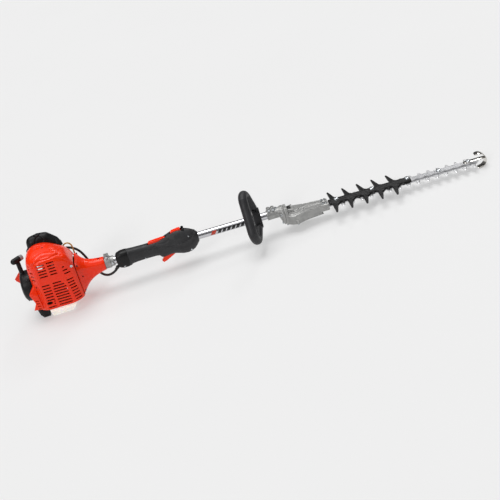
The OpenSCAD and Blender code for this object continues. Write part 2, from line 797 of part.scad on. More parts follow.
// Main casting: pinion nose, round gear chamber with a domed roof, and the flat neck to the blades
module gearcase_body() color("#c4c0b7") at_rest() difference() {
    union() {
        prism_x(gear_seam_x, 786) gear_flange();
        difference() {
            union() {
                rod_z(-40, -11, 38, x = gear_x);
                gear_lobes(-40, -28);
            }
            block([700, -60, -60], [gear_seam_x, 60, 20]);
        }
        translate([gear_x, 0, -11]) cylinder(r1 = 34.5, r2 = 31, h = 4);
        rod_z(-11, -3, 15, x = gear_x);
        prism_z(-40, -9) neck_outline(37.8, 27, 21, 896);
        prism_z(-34, -11) round_plate([880, -22], [924, 22], 4);
        for (side = [-1, 1]) translate([gear_x + 6, side * 12, -9.5]) rotate([0, 0, -side * 7])
            block([0, -2, 0], [72, 2, 3]);
    }
    // Chamber for the crank gear and the rods
    rod_z(-41, -9, 33.5, x = gear_x);
    rod_x(gear_seam_x - 1, 800, 13.4);
    prism_z(-41, -13) neck_outline(33, 24, 18, 888);
    block([880, -14.5, -31], [940, 14.5, -23.7]);
    block([887, -10.3, -24], [940, 10.3, -18.5]);
    rod_z(-10, -6.1, 10, x = gear_x);
    for (x = [905, 915], y = [-12, 12]) rod_z(-18.6, -10, 2.5 + FIT, x = x, y = y);
    gear_lobe_holes(-41, -32.8, 2 + FIT);
    for (y = [-19.5, 19.5], z = [-4, -32]) rod_x(gear_seam_x - 1, 781, 2 + FIT, y = y, z = z);
}

module gearcase_cover() color("#aeaaa1") at_rest() difference() {
    union() {
        intersection() {
            union() {
                rod_z(-43, -40.2, 38, x = gear_x);
                gear_lobes(-43, -40.2);
                prism_z(-43, -40.2) neck_outline(37.8, 27, 21, 900);
            }
            block([gear_seam_x + 0.2, -60, -60], [960, 60, 20]);
        }
        rod_z(-41, -33, 15, x = gear_x);
    }
    rod_z(-40, -32, 12, x = gear_x);
    gear_lobe_holes(-44, -39, 2 + FIT);
}

// Teeth of the pinion: one points straight down into a gap of the crank gear
module bevel_pinion() color("gray") at_rest() difference() {
    union() {
        rod_x(761.5, 779.5, 6);
        rod_x(779, 784, pinion_pitch_r - 1.9);
        for (k = [0:pinion_teeth - 1]) rotate([360 * k / pinion_teeth, 0, 0])
            prism_x(779.8, 783.8) polygon([[-0.8, -8], [0.8, -8], [0.8, 0.5 - pinion_pitch_r],
                [0.5, -1.4 - pinion_pitch_r], [-0.5, -1.4 - pinion_pitch_r], [-0.8, 0.5 - pinion_pitch_r]]);
    }
    rod_x(760, 772, shaft_r + FIT);
}

module crank_gear() color("gray") at_rest() translate([gear_x, 0, 0]) {
    rod_z(-16, gear_face_z, 31.5);
    for (k = [0:gear_teeth - 1]) rotate([0, 0, 360 * (k + 0.5) / gear_teeth])
        block([26, -0.95, gear_face_z - 0.5], [30.2, 0.95, -9.8]);
    rod_z(-39.5, -6.4, 6);
    rod_z(gear_face_z - 0.5, -9.3, 9);
    rod_z(-19.3, -15.5, 15, y = throw);
    rod_z(-22.6, -19.3, 15, y = -throw);
}

module eccentric_rod(side, z) translate([gear_x, side * throw, 0]) difference() {
    union() {
        rod_z(z, z + 2.7, 19);
        prism_z(z, z + 2.7) polygon([[12, -9], [46, -4.5], [62, -4.5], [62, 4.5], [46, 4.5], [12, 9]]);
        rod_z(z, z + 2.7, 4.5, x = 62);
    }
    rod_z(z - 1, z + 4, 15 + FIT);
    rod_z(z - 1, z + 4, 2.6, x = 62);
}

module upper_rod() color("slategray") at_rest() eccentric_rod(1, -19);

module lower_rod() color("slategray") at_rest() eccentric_rod(-1, -22.3);

// ---- Blades ----

// Outline of one double-sided blade with its teeth and its bolt slots
module blade_outline() difference() {
    union() {
        polygon([[852, -10], [852, 10], [930, 13], [bar_end_x - 8, 13], [bar_end_x, 8], [bar_end_x, -8],
            [bar_end_x - 8, -13], [930, -13]]);
        for (side = [-1, 1]) for (i = [0:13]) {
            x = tooth_first_x + tooth_pitch * i + (side < 0 ? tooth_stagger : 0);
            if (x < 1424) polygon([[x - 9, side * 12], [x - 3.2, side * (tooth_reach - 1)],
                [x - 2, side * tooth_reach], [x + 2, side * tooth_reach], [x + 3.2, side * (tooth_reach - 1)],
                [x + 9, side * 12]]);
        }
    }
    for (x = blade_bolt_x) {
        block2([x - throw - 0.4, -4.4], [x + throw + 0.4, 4.4]);
        for (d = [-1, 1]) translate([x + d * (throw + 0.4), 0]) circle(4.4);
    }
}

module upper_blade() color("silver") at_rest() {
    prism_z(upper_blade_z, upper_blade_z + blade_t) blade_outline();
    rod_z(upper_blade_z + blade_t, -22.8, 4, x = gear_x + 62, y = 0);
}

module lower_blade() color("gainsboro") at_rest() {
    prism_z(lower_blade_z, lower_blade_z + blade_t) blade_outline();
    rod_z(lower_blade_z - 2, lower_blade_z, 4, x = gear_x + 62, y = 0);
}

module blade_guide_bar() color("lightgray") at_rest() difference() {
    prism_z(bar_z, bar_z + bar_h) round_plate([888.2, -10], [bar_end_x + 4, 10], 2);
    for (x = blade_bolt_x) rod_z(bar_z - 1, bar_z + bar_h + 1, 4 + FIT, x = x);
}

// Bolts, washers and nuts that hold the blades to the guide bar
module blade_bolts() color("silver") at_rest() for (x = blade_bolt_x) translate([x, 0, 0]) {
    top = x < 1207 ? -13.4 : bar_z + bar_h + (x > 1400 ? 2.2 : 0.1);
    rod_z(lower_blade_z - 2, top, 4);
    translate([0, 0, top]) cylinder(r = 7.5, h = 5, $fn = 6);
    rod_z(top, top + 1, 8.5);
    rod_z(lower_blade_z - 2.3, lower_blade_z - 0.4, 9);
    translate([0, 0, lower_blade_z - 6.6]) cylinder(r = 6.8, h = 5, $fn = 6);
}

// Black blade guard: a channel over the guide bar, with pairs of blunt spikes
module spike_guard() color("#1b1b1b") at_rest() difference() {
    union() {
        prism_x(926, 1207)
            polygon([[-17, -23.2], [17, -23.2], [15, -17], [11, -13.5], [-11, -13.5], [-15, -17]]);
        for (side = [-1, 1], i = [0:4]) {
            x = spike_first_x + spike_pitch * i;
            prism_z(-23.2, -18.7) polygon([[x - 2, side * 14], [x - 4.6, side * (spike_reach - 3)],
                [x - 3.4, side * spike_reach], [x - 0.6, side * spike_reach],
                [x + 0.6, side * (spike_reach - 4)], [x + 14, side * 14]]);
        }
    }
    block([925, -10 - FIT, -24], [1208, 10 + FIT, bar_z + bar_h + FIT]);
    for (x = blade_bolt_x) if (x < 1207) rod_z(-20, -13, 4 + FIT, x = x);
}

// Sheet held by the last blade bolt that curls over, round and under the blade tips
module tip_guard() color("gainsboro") difference() {
    at_rest() difference() {
        union() {
            difference() {
                rod_y(-12, 12, tip_r, x = tip_x, z = -22);
                rod_y(-13, 13, tip_r - 2.2, x = tip_x, z = -22);
                block([1400, -14, -60], [1431, 14, 20]);
                block([1400, -14, -60], [tip_x - 4, 14, 3]);
            }
            block([1392, -9, -18.6], [tip_x + tip_r - 1.2, 9, -16.6]);
        }
        rod_z(-20, -10, 4 + FIT, x = 1407);
    }
    block([1300, -100, -20], [1500, 100, 0]);
}

pole_tube();
shaft_bushes();
clutch_housing();
housing_clamp();
socket_screws();
ball_bearings();
fan_housing();
engine_cover();
top_shroud();
cover_screws();
starter_housing();
starter_guard();
crankcase();
cylinder_block();
ignition_coil();
spark_plug();
plug_cap();
muffler();
carburettor();
air_filter();
air_cleaner_base();
air_cleaner_cover();
fuel_tank();
rear_foot();
fuel_line();
throttle_cable();
handle_right();
handle_left();
loop_handle();
loop_clamp();
gearcase_rear();
gearcase_body();
gearcase_cover();
blade_guide_bar();
spike_guard();
blade_bolts();
tip_guard();
crankshaft();
flywheel();
clutch_shoes();
clutch_drum();
drive_shaft();
bevel_pinion();
crank_gear();
upper_rod();
lower_rod();
upper_blade();
lower_blade();
piston();
connecting_rod();
starter_reel();
starter_grip();
starter_rope();
throttle_trigger();
lockout_lever();
stop_switch();
fuel_cap();
air_cleaner_knob();
choke_lever();
purge_bulb();
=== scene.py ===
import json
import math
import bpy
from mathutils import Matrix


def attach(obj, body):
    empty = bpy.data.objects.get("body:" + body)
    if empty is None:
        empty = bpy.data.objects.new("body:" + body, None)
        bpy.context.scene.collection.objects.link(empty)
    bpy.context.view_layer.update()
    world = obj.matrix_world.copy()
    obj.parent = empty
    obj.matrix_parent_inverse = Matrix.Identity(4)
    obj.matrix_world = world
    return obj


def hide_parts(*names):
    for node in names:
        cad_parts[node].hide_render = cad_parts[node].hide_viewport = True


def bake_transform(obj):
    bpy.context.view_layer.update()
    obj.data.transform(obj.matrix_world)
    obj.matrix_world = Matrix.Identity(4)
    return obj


bl_info = {
    "name": "Pole Hedge Trimmer",
    "version": (1, 0, 0),
    "blender": (4, 5, 0),
    "location": "3D View > Sidebar > Trimmer",
    "description": "Builds a petrol pole hedge trimmer around its packed CAD model",
    "category": "Add Mesh",
}

import bmesh
import bpy
import numpy as np
from mathutils import Matrix, Vector
from mathutils.bvhtree import BVHTree
from mathutils.kdtree import KDTree

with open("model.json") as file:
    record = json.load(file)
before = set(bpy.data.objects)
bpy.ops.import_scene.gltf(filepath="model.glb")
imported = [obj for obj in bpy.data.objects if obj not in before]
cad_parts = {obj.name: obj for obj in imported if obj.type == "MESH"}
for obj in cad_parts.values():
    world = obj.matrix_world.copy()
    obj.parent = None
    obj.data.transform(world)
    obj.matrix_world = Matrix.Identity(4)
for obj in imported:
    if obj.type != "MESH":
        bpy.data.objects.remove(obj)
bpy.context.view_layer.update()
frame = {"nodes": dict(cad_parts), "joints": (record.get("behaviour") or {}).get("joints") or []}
NODES = frame["nodes"]

# The pole's own frame, in millimetres: X along the pole from the tank's middle towards the blades,
# Y to the operator's left, Z up from the pole. REST leans it as the CAD model stands.
CRANK = next(j for j in frame["joints"] if j["name"] == "crankshaft_spin")
REST = (Matrix.Translation(CRANK["pos_m"])
        @ Matrix.Rotation(math.atan2(-CRANK["axis"][2], CRANK["axis"][0]), 4, "Y")
        @ Matrix.Scale(0.001, 4))
MM = 0.001
POLE_R = 13.0
SPIKE_STEP, SPIKE_COUNT = 51.2, 5
FIRST_SPIKE = 941
TOOTH_STEP = 32.1
STARTER_R = 51.6
BOLTS_X = [952, 1075, 1196, 1305, 1407]
LOOP = Matrix.Translation((685, 0, 0)) @ Matrix.Rotation(math.radians(55), 4, "X")
LOOP_LEAN = math.radians(18)


# ---- Meshes, in millimetres in the pole's frame ----

def new_object(name, verts, faces):
    """A mesh object from points and faces."""
    mesh = bpy.data.meshes.new(name)
    mesh.from_pydata([tuple(v) for v in verts], [], [tuple(f) for f in faces])
    obj = bpy.data.objects.new(name, mesh)
    bpy.context.scene.collection.objects.link(obj)
    return obj


def drop(obj):
    mesh = obj.data
    bpy.data.objects.remove(obj)
    bpy.data.meshes.remove(mesh)


def from_bmesh(bm, name="part"):
    mesh = bpy.data.meshes.new(name)
    bm.to_mesh(mesh)
    bm.free()
    obj = bpy.data.objects.new(name, mesh)
    bpy.context.scene.collection.objects.link(obj)
    return obj


def outward(obj):
    """Merges doubles and turns every face outwards."""
    bm = bmesh.new()
    bm.from_mesh(obj.data)
    bmesh.ops.remove_doubles(bm, verts=bm.verts, dist=0.001)
    bmesh.ops.recalc_face_normals(bm, faces=bm.faces)
    bm.to_mesh(obj.data)
    bm.free()
    return obj


def loft(rings, name="loft", closed=False):
    """Skin over rings of points, its two ends closed unless the rings close on themselves."""
    n = len(rings[0])
    verts = [p for ring in rings for p in ring]
    faces = []
    spans = len(rings) if closed else len(rings) - 1
    for i in range(spans):
        a, b = i * n, ((i + 1) % len(rings)) * n
        faces += [(a + k, a + (k + 1) % n, b + (k + 1) % n, b + k) for k in range(n)]
    if not closed:
        faces += [tuple(range(n))[::-1], tuple(range(len(verts) - n, len(verts)))]
    return outward(new_object(name, verts, faces))


def turned(axis, v):
    """A point from an outline's own plane: along X it holds (y, z), along Y (x, z), along Z (x, y)."""
    u, w, h = v
    return {"x": (h, u, w), "y": (u, h, w), "z": (u, w, h)}[axis]


def prism(outline, lo, hi, axis="z"):
    return loft([[turned(axis, (u, w, h)) for u, w in outline] for h in (lo, hi)])


def block(lo, hi):
    return prism([(lo[0], lo[1]), (hi[0], lo[1]), (hi[0], hi[1]), (lo[0], hi[1])], lo[2], hi[2])


def hull(points):
    bm = bmesh.new()
    for p in points:
        bm.verts.new(p)
    out = bmesh.ops.convex_hull(bm, input=bm.verts)
    loose = {g for key in ("geom_interior", "geom_unused") for g in out[key] if isinstance(g, bmesh.types.BMVert)}
    bmesh.ops.delete(bm, geom=list(loose), context="VERTS")
    return outward(from_bmesh(bm))


def rounded(lo, hi, r, n=5):
    """Outline of a box with round corners."""
    points = []
    for cx, cy, a0 in ((hi[0] - r, hi[1] - r, 0), (lo[0] + r, hi[1] - r, 90),
                       (lo[0] + r, lo[1] + r, 180), (hi[0] - r, lo[1] + r, 270)):
        for i in range(n + 1):
            a = math.radians(a0 + 90 * i / n)
            points.append((cx + r * math.cos(a), cy + r * math.sin(a)))
    return points


def circle(r, n=48, cx=0.0, cy=0.0):
    return [(cx + r * math.cos(math.tau * i / n), cy + r * math.sin(math.tau * i / n)) for i in range(n)]


def oval(w, top, low, power=2.4, n=64):
    """Ring of (y, z) points of a moulded body: half width, height over and depth under the axis."""
    points = []
    for i in range(n):
        a = math.tau * i / n
        c, s = math.cos(a), math.sin(a)
        k = (abs(c) ** power + abs(s) ** power) ** (-1 / power)
        points.append((w * k * c, (top + low) / 2 + (top - low) / 2 * k * s))
    return points


def along(path, radius, n=20, name="sweep"):
    """Tube of the given radius, or radius at each point, along a path."""
    pts = [Vector(p) for p in path]
    rings, side = [], None
    for i, p in enumerate(pts):
        t = (pts[min(i + 1, len(pts) - 1)] - pts[max(i - 1, 0)]).normalized()
        side = (side or t.orthogonal()) - (side or t.orthogonal()).dot(t) * t
        side.normalize()
        up = t.cross(side)
        r = radius[i] if hasattr(radius, "__len__") else radius
        rings.append([p + r * (math.cos(math.tau * k / n) * side + math.sin(math.tau * k / n) * up)
                      for k in range(n)])
    return loft(rings, name)


def rod(a, b, r, r2=None, n=40):
    return along([a, b], [r, r if r2 is None else r2], n)


def spun(profile, base, axis="x", n=64):
    """Closed solid from an outline of (distance along the axis, radius) points, turned about the axis."""
    rings = []
    for k in range(n):
        a = math.tau * k / n
        ring = []
        for h, r in profile:
            u, w = r * math.cos(a), r * math.sin(a)
            ring.append(Vector(base) + Vector(turned(axis, (u, w, h))))
        rings.append(ring)
    return loft(rings, closed=True)


def ball(centre, r, stretch=(1, 1, 1)):
    bm = bmesh.new()
    bmesh.ops.create_uvsphere(bm, u_segments=32, v_segments=16, radius=r)
    bmesh.ops.scale(bm, vec=stretch, verts=bm.verts)
    bmesh.ops.translate(bm, vec=centre, verts=bm.verts)
    return from_bmesh(bm)


def spline(points, count):
    """Smooth curve of that many points through the given ones."""
    pts = [Vector(p) for p in points]
    pts = [2 * pts[0] - pts[1]] + pts + [2 * pts[-1] - pts[-2]]
    out = []
    for i in range(count):
        t = i / (count - 1) * (len(pts) - 3)
        k = min(int(t), len(pts) - 4)
        t -= k
        a, b, c, d = pts[k:k + 4]
        out.append(0.5 * (2 * b + (c - a) * t + (2 * a - 5 * b + 4 * c - d) * t ** 2
                          + (3 * b - a - 3 * c + d) * t ** 3))
    return out


def joined(parts, name="joined"):
    bm = bmesh.new()
    for part in parts:
        bm.from_mesh(part.data)
        drop(part)
    return from_bmesh(bm, name)


def applied(obj):
    """Makes the object's modifiers part of its mesh."""
    graph = bpy.context.evaluated_depsgraph_get()
    mesh = bpy.data.meshes.new_from_object(obj.evaluated_get(graph))
    old = obj.data
    obj.modifiers.clear()
    obj.data = mesh
    bpy.data.meshes.remove(old)
    return obj


def modify(obj, kind, **settings):
    modifier = obj.modifiers.new(kind, kind)
    for key, value in settings.items():
        setattr(modifier, key, value)
    return applied(obj)


def fused(parts, voxel, rounds=6, faces=None):
    """One closed skin over overlapping parts, its joins and edges rounded as a mould or a casting leaves them."""
    obj = joined(parts)
    modify(obj, "REMESH", mode="VOXEL", voxel_size=voxel, use_smooth_shade=True)
    if rounds:
        modify(obj, "SMOOTH", factor=0.5, iterations=rounds)
    if faces:
        modify(obj, "DECIMATE", ratio=min(1.0, faces / max(1, len(obj.data.polygons) * 2)))
    return obj


def cut(obj, *tools, operation="DIFFERENCE", keep=False):
    """Takes each tool's shape out of obj."""
    for tool in tools:
        modify(obj, "BOOLEAN", operation=operation, object=tool, solver="EXACT", use_self=False)
        if not keep:
            drop(tool)
    return obj


def sliced(obj, point, normal, close=True):
    """Keeps the side of a plane that its normal points away from."""
    bm = bmesh.new()
    bm.from_mesh(obj.data)
    geom = bm.verts[:] + bm.edges[:] + bm.faces[:]
    out = bmesh.ops.bisect_plane(bm, geom=geom, plane_co=point, plane_no=normal, clear_outer=True, dist=1e-4)
    if close:
        edges = [g for g in out["geom_cut"] if isinstance(g, bmesh.types.BMEdge)]
        bmesh.ops.triangle_fill(bm, edges=edges, use_beauty=True)
        bmesh.ops.recalc_face_normals(bm, faces=bm.faces)
    bm.to_mesh(obj.data)
    bm.free()
    return obj


def copied(obj):
    twin = obj.copy()
    twin.data = obj.data.copy()
    bpy.context.scene.collection.objects.link(twin)
    return twin


def moved(obj, matrix):
    obj.data.transform(matrix)
    if matrix.determinant() < 0:
        obj.data.flip_normals()
    return obj


def ringed(points, count):
    """Smooth closed curve of that many points through the given ones."""
    pts, out = [Vector(p) for p in points], []
    for i in range(count):
        k, t = divmod(i / count * len(pts), 1)
        a, b, c, d = (pts[(int(k) + j) % len(pts)] for j in (-1, 0, 1, 2))
        out.append(0.5 * (2 * b + (c - a) * t + (2 * a - 5 * b + 4 * c - d) * t ** 2
                          + (3 * b - a - 3 * c + d) * t ** 3))
    return out


def laid(obj, points, axis="y", start=-300):
    """Points given across an axis, laid on the skin that a straight line along the axis meets first."""
    skin = BVHTree.FromPolygons([v.co for v in obj.data.vertices], [f.vertices for f in obj.data.polygons])
    way = Vector(turned(axis, (0, 0, -math.copysign(1, start))))
    hits = [skin.ray_cast(Vector(turned(axis, (*p, start))), way)[0] for p in points]
    return [h for h in hits if h]


def creased(obj, path, width, depth):
    """Presses a crease into a skin along a line, or raises one where depth is below zero."""
    pts = spline(path, 160)
    tree = KDTree(len(pts))
    for i, p in enumerate(pts):
        tree.insert(p, i)
    tree.balance()
    normals = [v.normal.copy() for v in obj.data.vertices]
    for v, normal in zip(obj.data.vertices, normals):
        d = tree.find(v.co)[2]
        if d < width:
            v.co -= normal * depth * (0.5 + 0.5 * math.cos(math.pi * d / width))
    obj.data.update()
    return obj


def dented(obj, centre, half, depth, edge):
    """Presses a pocket with sloping walls into the top of a skin."""
    for v in obj.data.vertices:
        inside = min(half[0] - abs(v.co.x - centre[0]), half[1] - abs(v.co.y - centre[1]))
        if inside > 0 and v.co.z > centre[2]:
            k = min(1.0, inside / edge)
            v.co.z -= depth * k * k * (3 - 2 * k)
    obj.data.update()
    return obj


def bevelled(obj, width, segments=3, angle=30):
    return modify(obj, "BEVEL", width=width, segments=segments, limit_method="ANGLE",
                  angle_limit=math.radians(angle), harden_normals=False, use_clamp_overlap=True)


# ---- Geometry Nodes ----

def add(tree, kind, settings=None, sockets=None):
    """Adds a node, with its settings, and its inputs as values or as links from other nodes' outputs."""
    node = tree.nodes.new(kind)
    for key, value in (settings or {}).items():
        setattr(node, key, value)
    for key, value in (sockets or {}).items():
        if isinstance(value, bpy.types.NodeSocket):
            tree.links.new(value, node.inputs[key])
        else:
            node.inputs[key].default_value = value
    return node


def new_tree(name, inputs):
    """An empty Geometry Nodes tree with named inputs, and the node that holds them."""
    tree = bpy.data.node_groups.new(name, "GeometryNodeTree")
    tree.interface.new_socket("Geometry", in_out="OUTPUT", socket_type="NodeSocketGeometry")
    for label, kind in inputs:
        tree.interface.new_socket(label, in_out="INPUT", socket_type="NodeSocket" + kind)
    return tree, tree.nodes.new("NodeGroupInput").outputs


def close_tree(tree, instances, finish):
    """Ends a tree: instances made real, given their finish and sent out."""
    real = add(tree, "GeometryNodeRealizeInstances", None, {"Geometry": instances})
    done = add(tree, "GeometryNodeSetMaterial", None, {"Geometry": real.outputs[0], "Material": finish})
    add(tree, "NodeGroupOutput", None, {0: done.outputs[0]})
    return tree


def row_tree():
    """Repeats a piece: each copy is one step further and one turn further than the last."""
    tree, given = new_tree("Repeat Piece", [("Piece", "Object"), ("Count", "Int"), ("Step", "Vector"),
                                            ("Turn", "Vector"), ("Finish", "Material")])
    index = add(tree, "GeometryNodeInputIndex")
    place = add(tree, "ShaderNodeVectorMath", {"operation": "SCALE"},
                {0: given["Step"], "Scale": index.outputs[0]})
    turn = add(tree, "ShaderNodeVectorMath", {"operation": "SCALE"},
               {0: given["Turn"], "Scale": index.outputs[0]})
    points = add(tree, "GeometryNodePoints", None, {"Count": given["Count"], "Position": place.outputs[0]})
    piece = add(tree, "GeometryNodeObjectInfo", {"transform_space": "ORIGINAL"}, {"Object": given["Piece"]})
    copies = add(tree, "GeometryNodeInstanceOnPoints", None, {
        "Points": points.outputs[0], "Instance": piece.outputs["Geometry"], "Rotation": turn.outputs[0]})
    return close_tree(tree, copies.outputs[0], given["Finish"])


def bolt_tree():
    """Cap screws on points: a washer, a head with its chamfer and a hexagon socket in it."""
    tree, given = new_tree("Cap Screws", [("Geometry", "Geometry"), ("Radius", "Float"), ("Height", "Float"),
                                          ("Socket", "Float"), ("Washer", "Float"), ("Finish", "Material")])
    # Shares of the head's height: its chamfer, its washer, and how far up each part stands
    share = {k: add(tree, "ShaderNodeMath", {"operation": "MULTIPLY"}, {0: given["Height"], 1: k}).outputs[0]
             for k in (0.18, 0.3, 0.5, 1.0, 1.1)}
    raised = {k: add(tree, "ShaderNodeCombineXYZ", None, {"Z": share[k]}).outputs[0] for k in (0.5, 1.0, 1.1)}
    narrow = add(tree, "ShaderNodeMath", {"operation": "MULTIPLY"}, {0: given["Radius"], 1: 0.86})
    body = add(tree, "GeometryNodeMeshCylinder", None, {
        "Vertices": 28, "Radius": given["Radius"], "Depth": given["Height"]})
    body = add(tree, "GeometryNodeTransform", None, {"Geometry": body.outputs["Mesh"], "Translation": raised[0.5]})
    rim = add(tree, "GeometryNodeMeshCone", None, {
        "Vertices": 28, "Radius Bottom": given["Radius"], "Radius Top": narrow.outputs[0], "Depth": share[0.18]})
    rim = add(tree, "GeometryNodeTransform", None, {"Geometry": rim.outputs["Mesh"], "Translation": raised[1.0]})
    hexagon = add(tree, "GeometryNodeMeshCylinder", None, {
        "Vertices": 6, "Radius": given["Socket"], "Depth": given["Height"]})
    hexagon = add(tree, "GeometryNodeTransform", None, {
        "Geometry": hexagon.outputs["Mesh"], "Translation": raised[1.1]})
    solid = add(tree, "GeometryNodeMeshBoolean", {"operation": "UNION"}, {"Mesh 2": body.outputs[0]})
    tree.links.new(rim.outputs[0], solid.inputs["Mesh 2"])
    head = add(tree, "GeometryNodeMeshBoolean", {"operation": "DIFFERENCE"},
               {"Mesh 1": solid.outputs[0], "Mesh 2": hexagon.outputs[0]})
    washer = add(tree, "GeometryNodeMeshCylinder", None, {
        "Vertices": 36, "Radius": given["Washer"], "Depth": share[0.3]})
    both = add(tree, "GeometryNodeJoinGeometry", None, {"Geometry": head.outputs[0]})
    tree.links.new(washer.outputs["Mesh"], both.inputs[0])
    facing = add(tree, "GeometryNodeInputNamedAttribute", {"data_type": "FLOAT_VECTOR"}, {"Name": "facing"})
    turn = add(tree, "FunctionNodeAlignRotationToVector", {"axis": "Z"}, {"Vector": facing.outputs[0]})
    copies = add(tree, "GeometryNodeInstanceOnPoints", None, {
        "Points": given["Geometry"], "Instance": both.outputs[0], "Rotation": turn.outputs[0]})
    return close_tree(tree, copies.outputs[0], given["Finish"])


TREES = {}


def grown(tree, base=None, **values):
    """Runs a tree on a base mesh with values for its named inputs, and returns its result as a plain mesh object."""
    host = bpy.data.objects.new("host", base or bpy.data.meshes.new("host"))
    bpy.context.scene.collection.objects.link(host)
    modifier = host.modifiers.new("Nodes", "NODES")
    modifier.node_group = tree
    for item in tree.interface.items_tree:
        if item.item_type == "SOCKET" and item.in_out == "INPUT" and item.name in values:
            modifier[item.identifier] = values[item.name]
    graph = bpy.context.evaluated_depsgraph_get()
    mesh = bpy.data.meshes.new_from_object(host.evaluated_get(graph))
    drop(host)
    obj = bpy.data.objects.new("grown", mesh)
    bpy.context.scene.collection.objects.link(obj)
    return obj


def repeated(piece, count, step=(0, 0, 0), turn=(0, 0, 0)):
    """Copies of a piece along a row, or round an axis through the frame's origin."""
    obj = grown(TREES["row"], Piece=piece, Count=count, Step=step, Turn=turn)
    drop(piece)
    return obj


def screws(places, radius, height, socket, washer=0.0):
    """Cap screws at (point, direction) places."""
    mesh = bpy.data.meshes.new("places")
    mesh.from_pydata([p for p, d in places], [], [])
    facing = mesh.attributes.new("facing", "FLOAT_VECTOR", "POINT")
    for item, (p, d) in zip(facing.data, places):
        item.vector = d
    return grown(TREES["bolts"], mesh, Radius=radius, Height=height, Socket=socket,
                 Washer=washer or radius * 0.9)


# ---- Finishes ----

def colour(text):
    """Linear colour from an sRGB hex value; a colour property is linear already."""
    if not isinstance(text, str):
        return [*text, 1.0]
    parts = [int(text[i:i + 2], 16) / 255 for i in (1, 3, 5)]
    return [c / 12.92 if c <= 0.04045 else ((c + 0.055) / 1.055) ** 2.4 for c in parts] + [1.0]


def new_finish(name):
    material = bpy.data.materials.new(name)
    material.use_nodes = True
    tree = material.node_tree
    tree.nodes.clear()
    shader = tree.nodes.new("ShaderNodeBsdfPrincipled")
    out = tree.nodes.new("ShaderNodeOutputMaterial")
    tree.links.new(shader.outputs[0], out.inputs[0])
    return material, tree, shader


def noise(tree, size_mm, stretch=(1, 1, 1), detail=3.0, roughness=0.55):
    """Noise on Object coordinates whose features are about size_mm across, drawn out by stretch."""
    where = add(tree, "ShaderNodeTexCoord")
    scaled = add(tree, "ShaderNodeMapping", None, {
        "Vector": where.outputs["Object"], "Scale": [1 / s for s in stretch]})
    return add(tree, "ShaderNodeTexNoise", None, {
        "Vector": scaled.outputs[0], "Scale": 1000 / size_mm, "Detail": detail,
        "Roughness": roughness}).outputs["Fac"]


def spread(tree, value, low, high, start=0.3, end=0.7):
    return add(tree, "ShaderNodeMapRange", None, {
        "Value": value, "From Min": start, "From Max": end, "To Min": low, "To Max": high}).outputs[0]


def finish_of(name, base, second, patch_mm, rough, grain_mm, grain, stretch=(1, 1, 1), worn_and_lit_tone=None, wear_and_highlight=0.0, **fixed):
    """A finish: two tones in patches, roughness that wanders, a fine relief, and paler edges, partly wear where hands
    rub and partly a painted highlight.
    """
    material, tree, shader = new_finish(name)
    patches = spread(tree, noise(tree, patch_mm, stretch, 4), 0, 1)
    tone = add(tree, "ShaderNodeMix", {"data_type": "RGBA"}, {"Factor": patches, 6: colour(base), 7: colour(second)})
    tone = tone.outputs[2]
    # Paler tone on sharp edges: partly wear, partly a painted highlight
    if worn_and_lit_tone:
        edge = add(tree, "ShaderNodeAttribute", {"attribute_name": "edge"})
        rubbed_and_lit = add(tree, "ShaderNodeMath", {"operation": "MULTIPLY"},
                     {0: edge.outputs["Fac"], 1: spread(tree, noise(tree, 5, (1, 1, 1), 5), 0.2 * wear_and_highlight, wear_and_highlight)})
        tone = add(tree, "ShaderNodeMix", {"data_type": "RGBA"},
                   {"Factor": rubbed_and_lit.outputs[0], 6: tone, 7: colour(worn_and_lit_tone)}).outputs[2]
    tree.links.new(tone, shader.inputs["Base Color"])
    gloss = spread(tree, noise(tree, patch_mm * 0.6, stretch, 5), rough[0], rough[1])
    tree.links.new(gloss, shader.inputs["Roughness"])
    relief = noise(tree, grain_mm, stretch, 3)
    bump = add(tree, "ShaderNodeBump", None, {"Height": relief, "Strength": 1.0, "Distance": grain * MM})
    tree.links.new(bump.outputs[0], shader.inputs["Normal"])
    for key, value in fixed.items():
        shader.inputs[key.replace("_", " ")].default_value = value
    return material


FINISH = {}


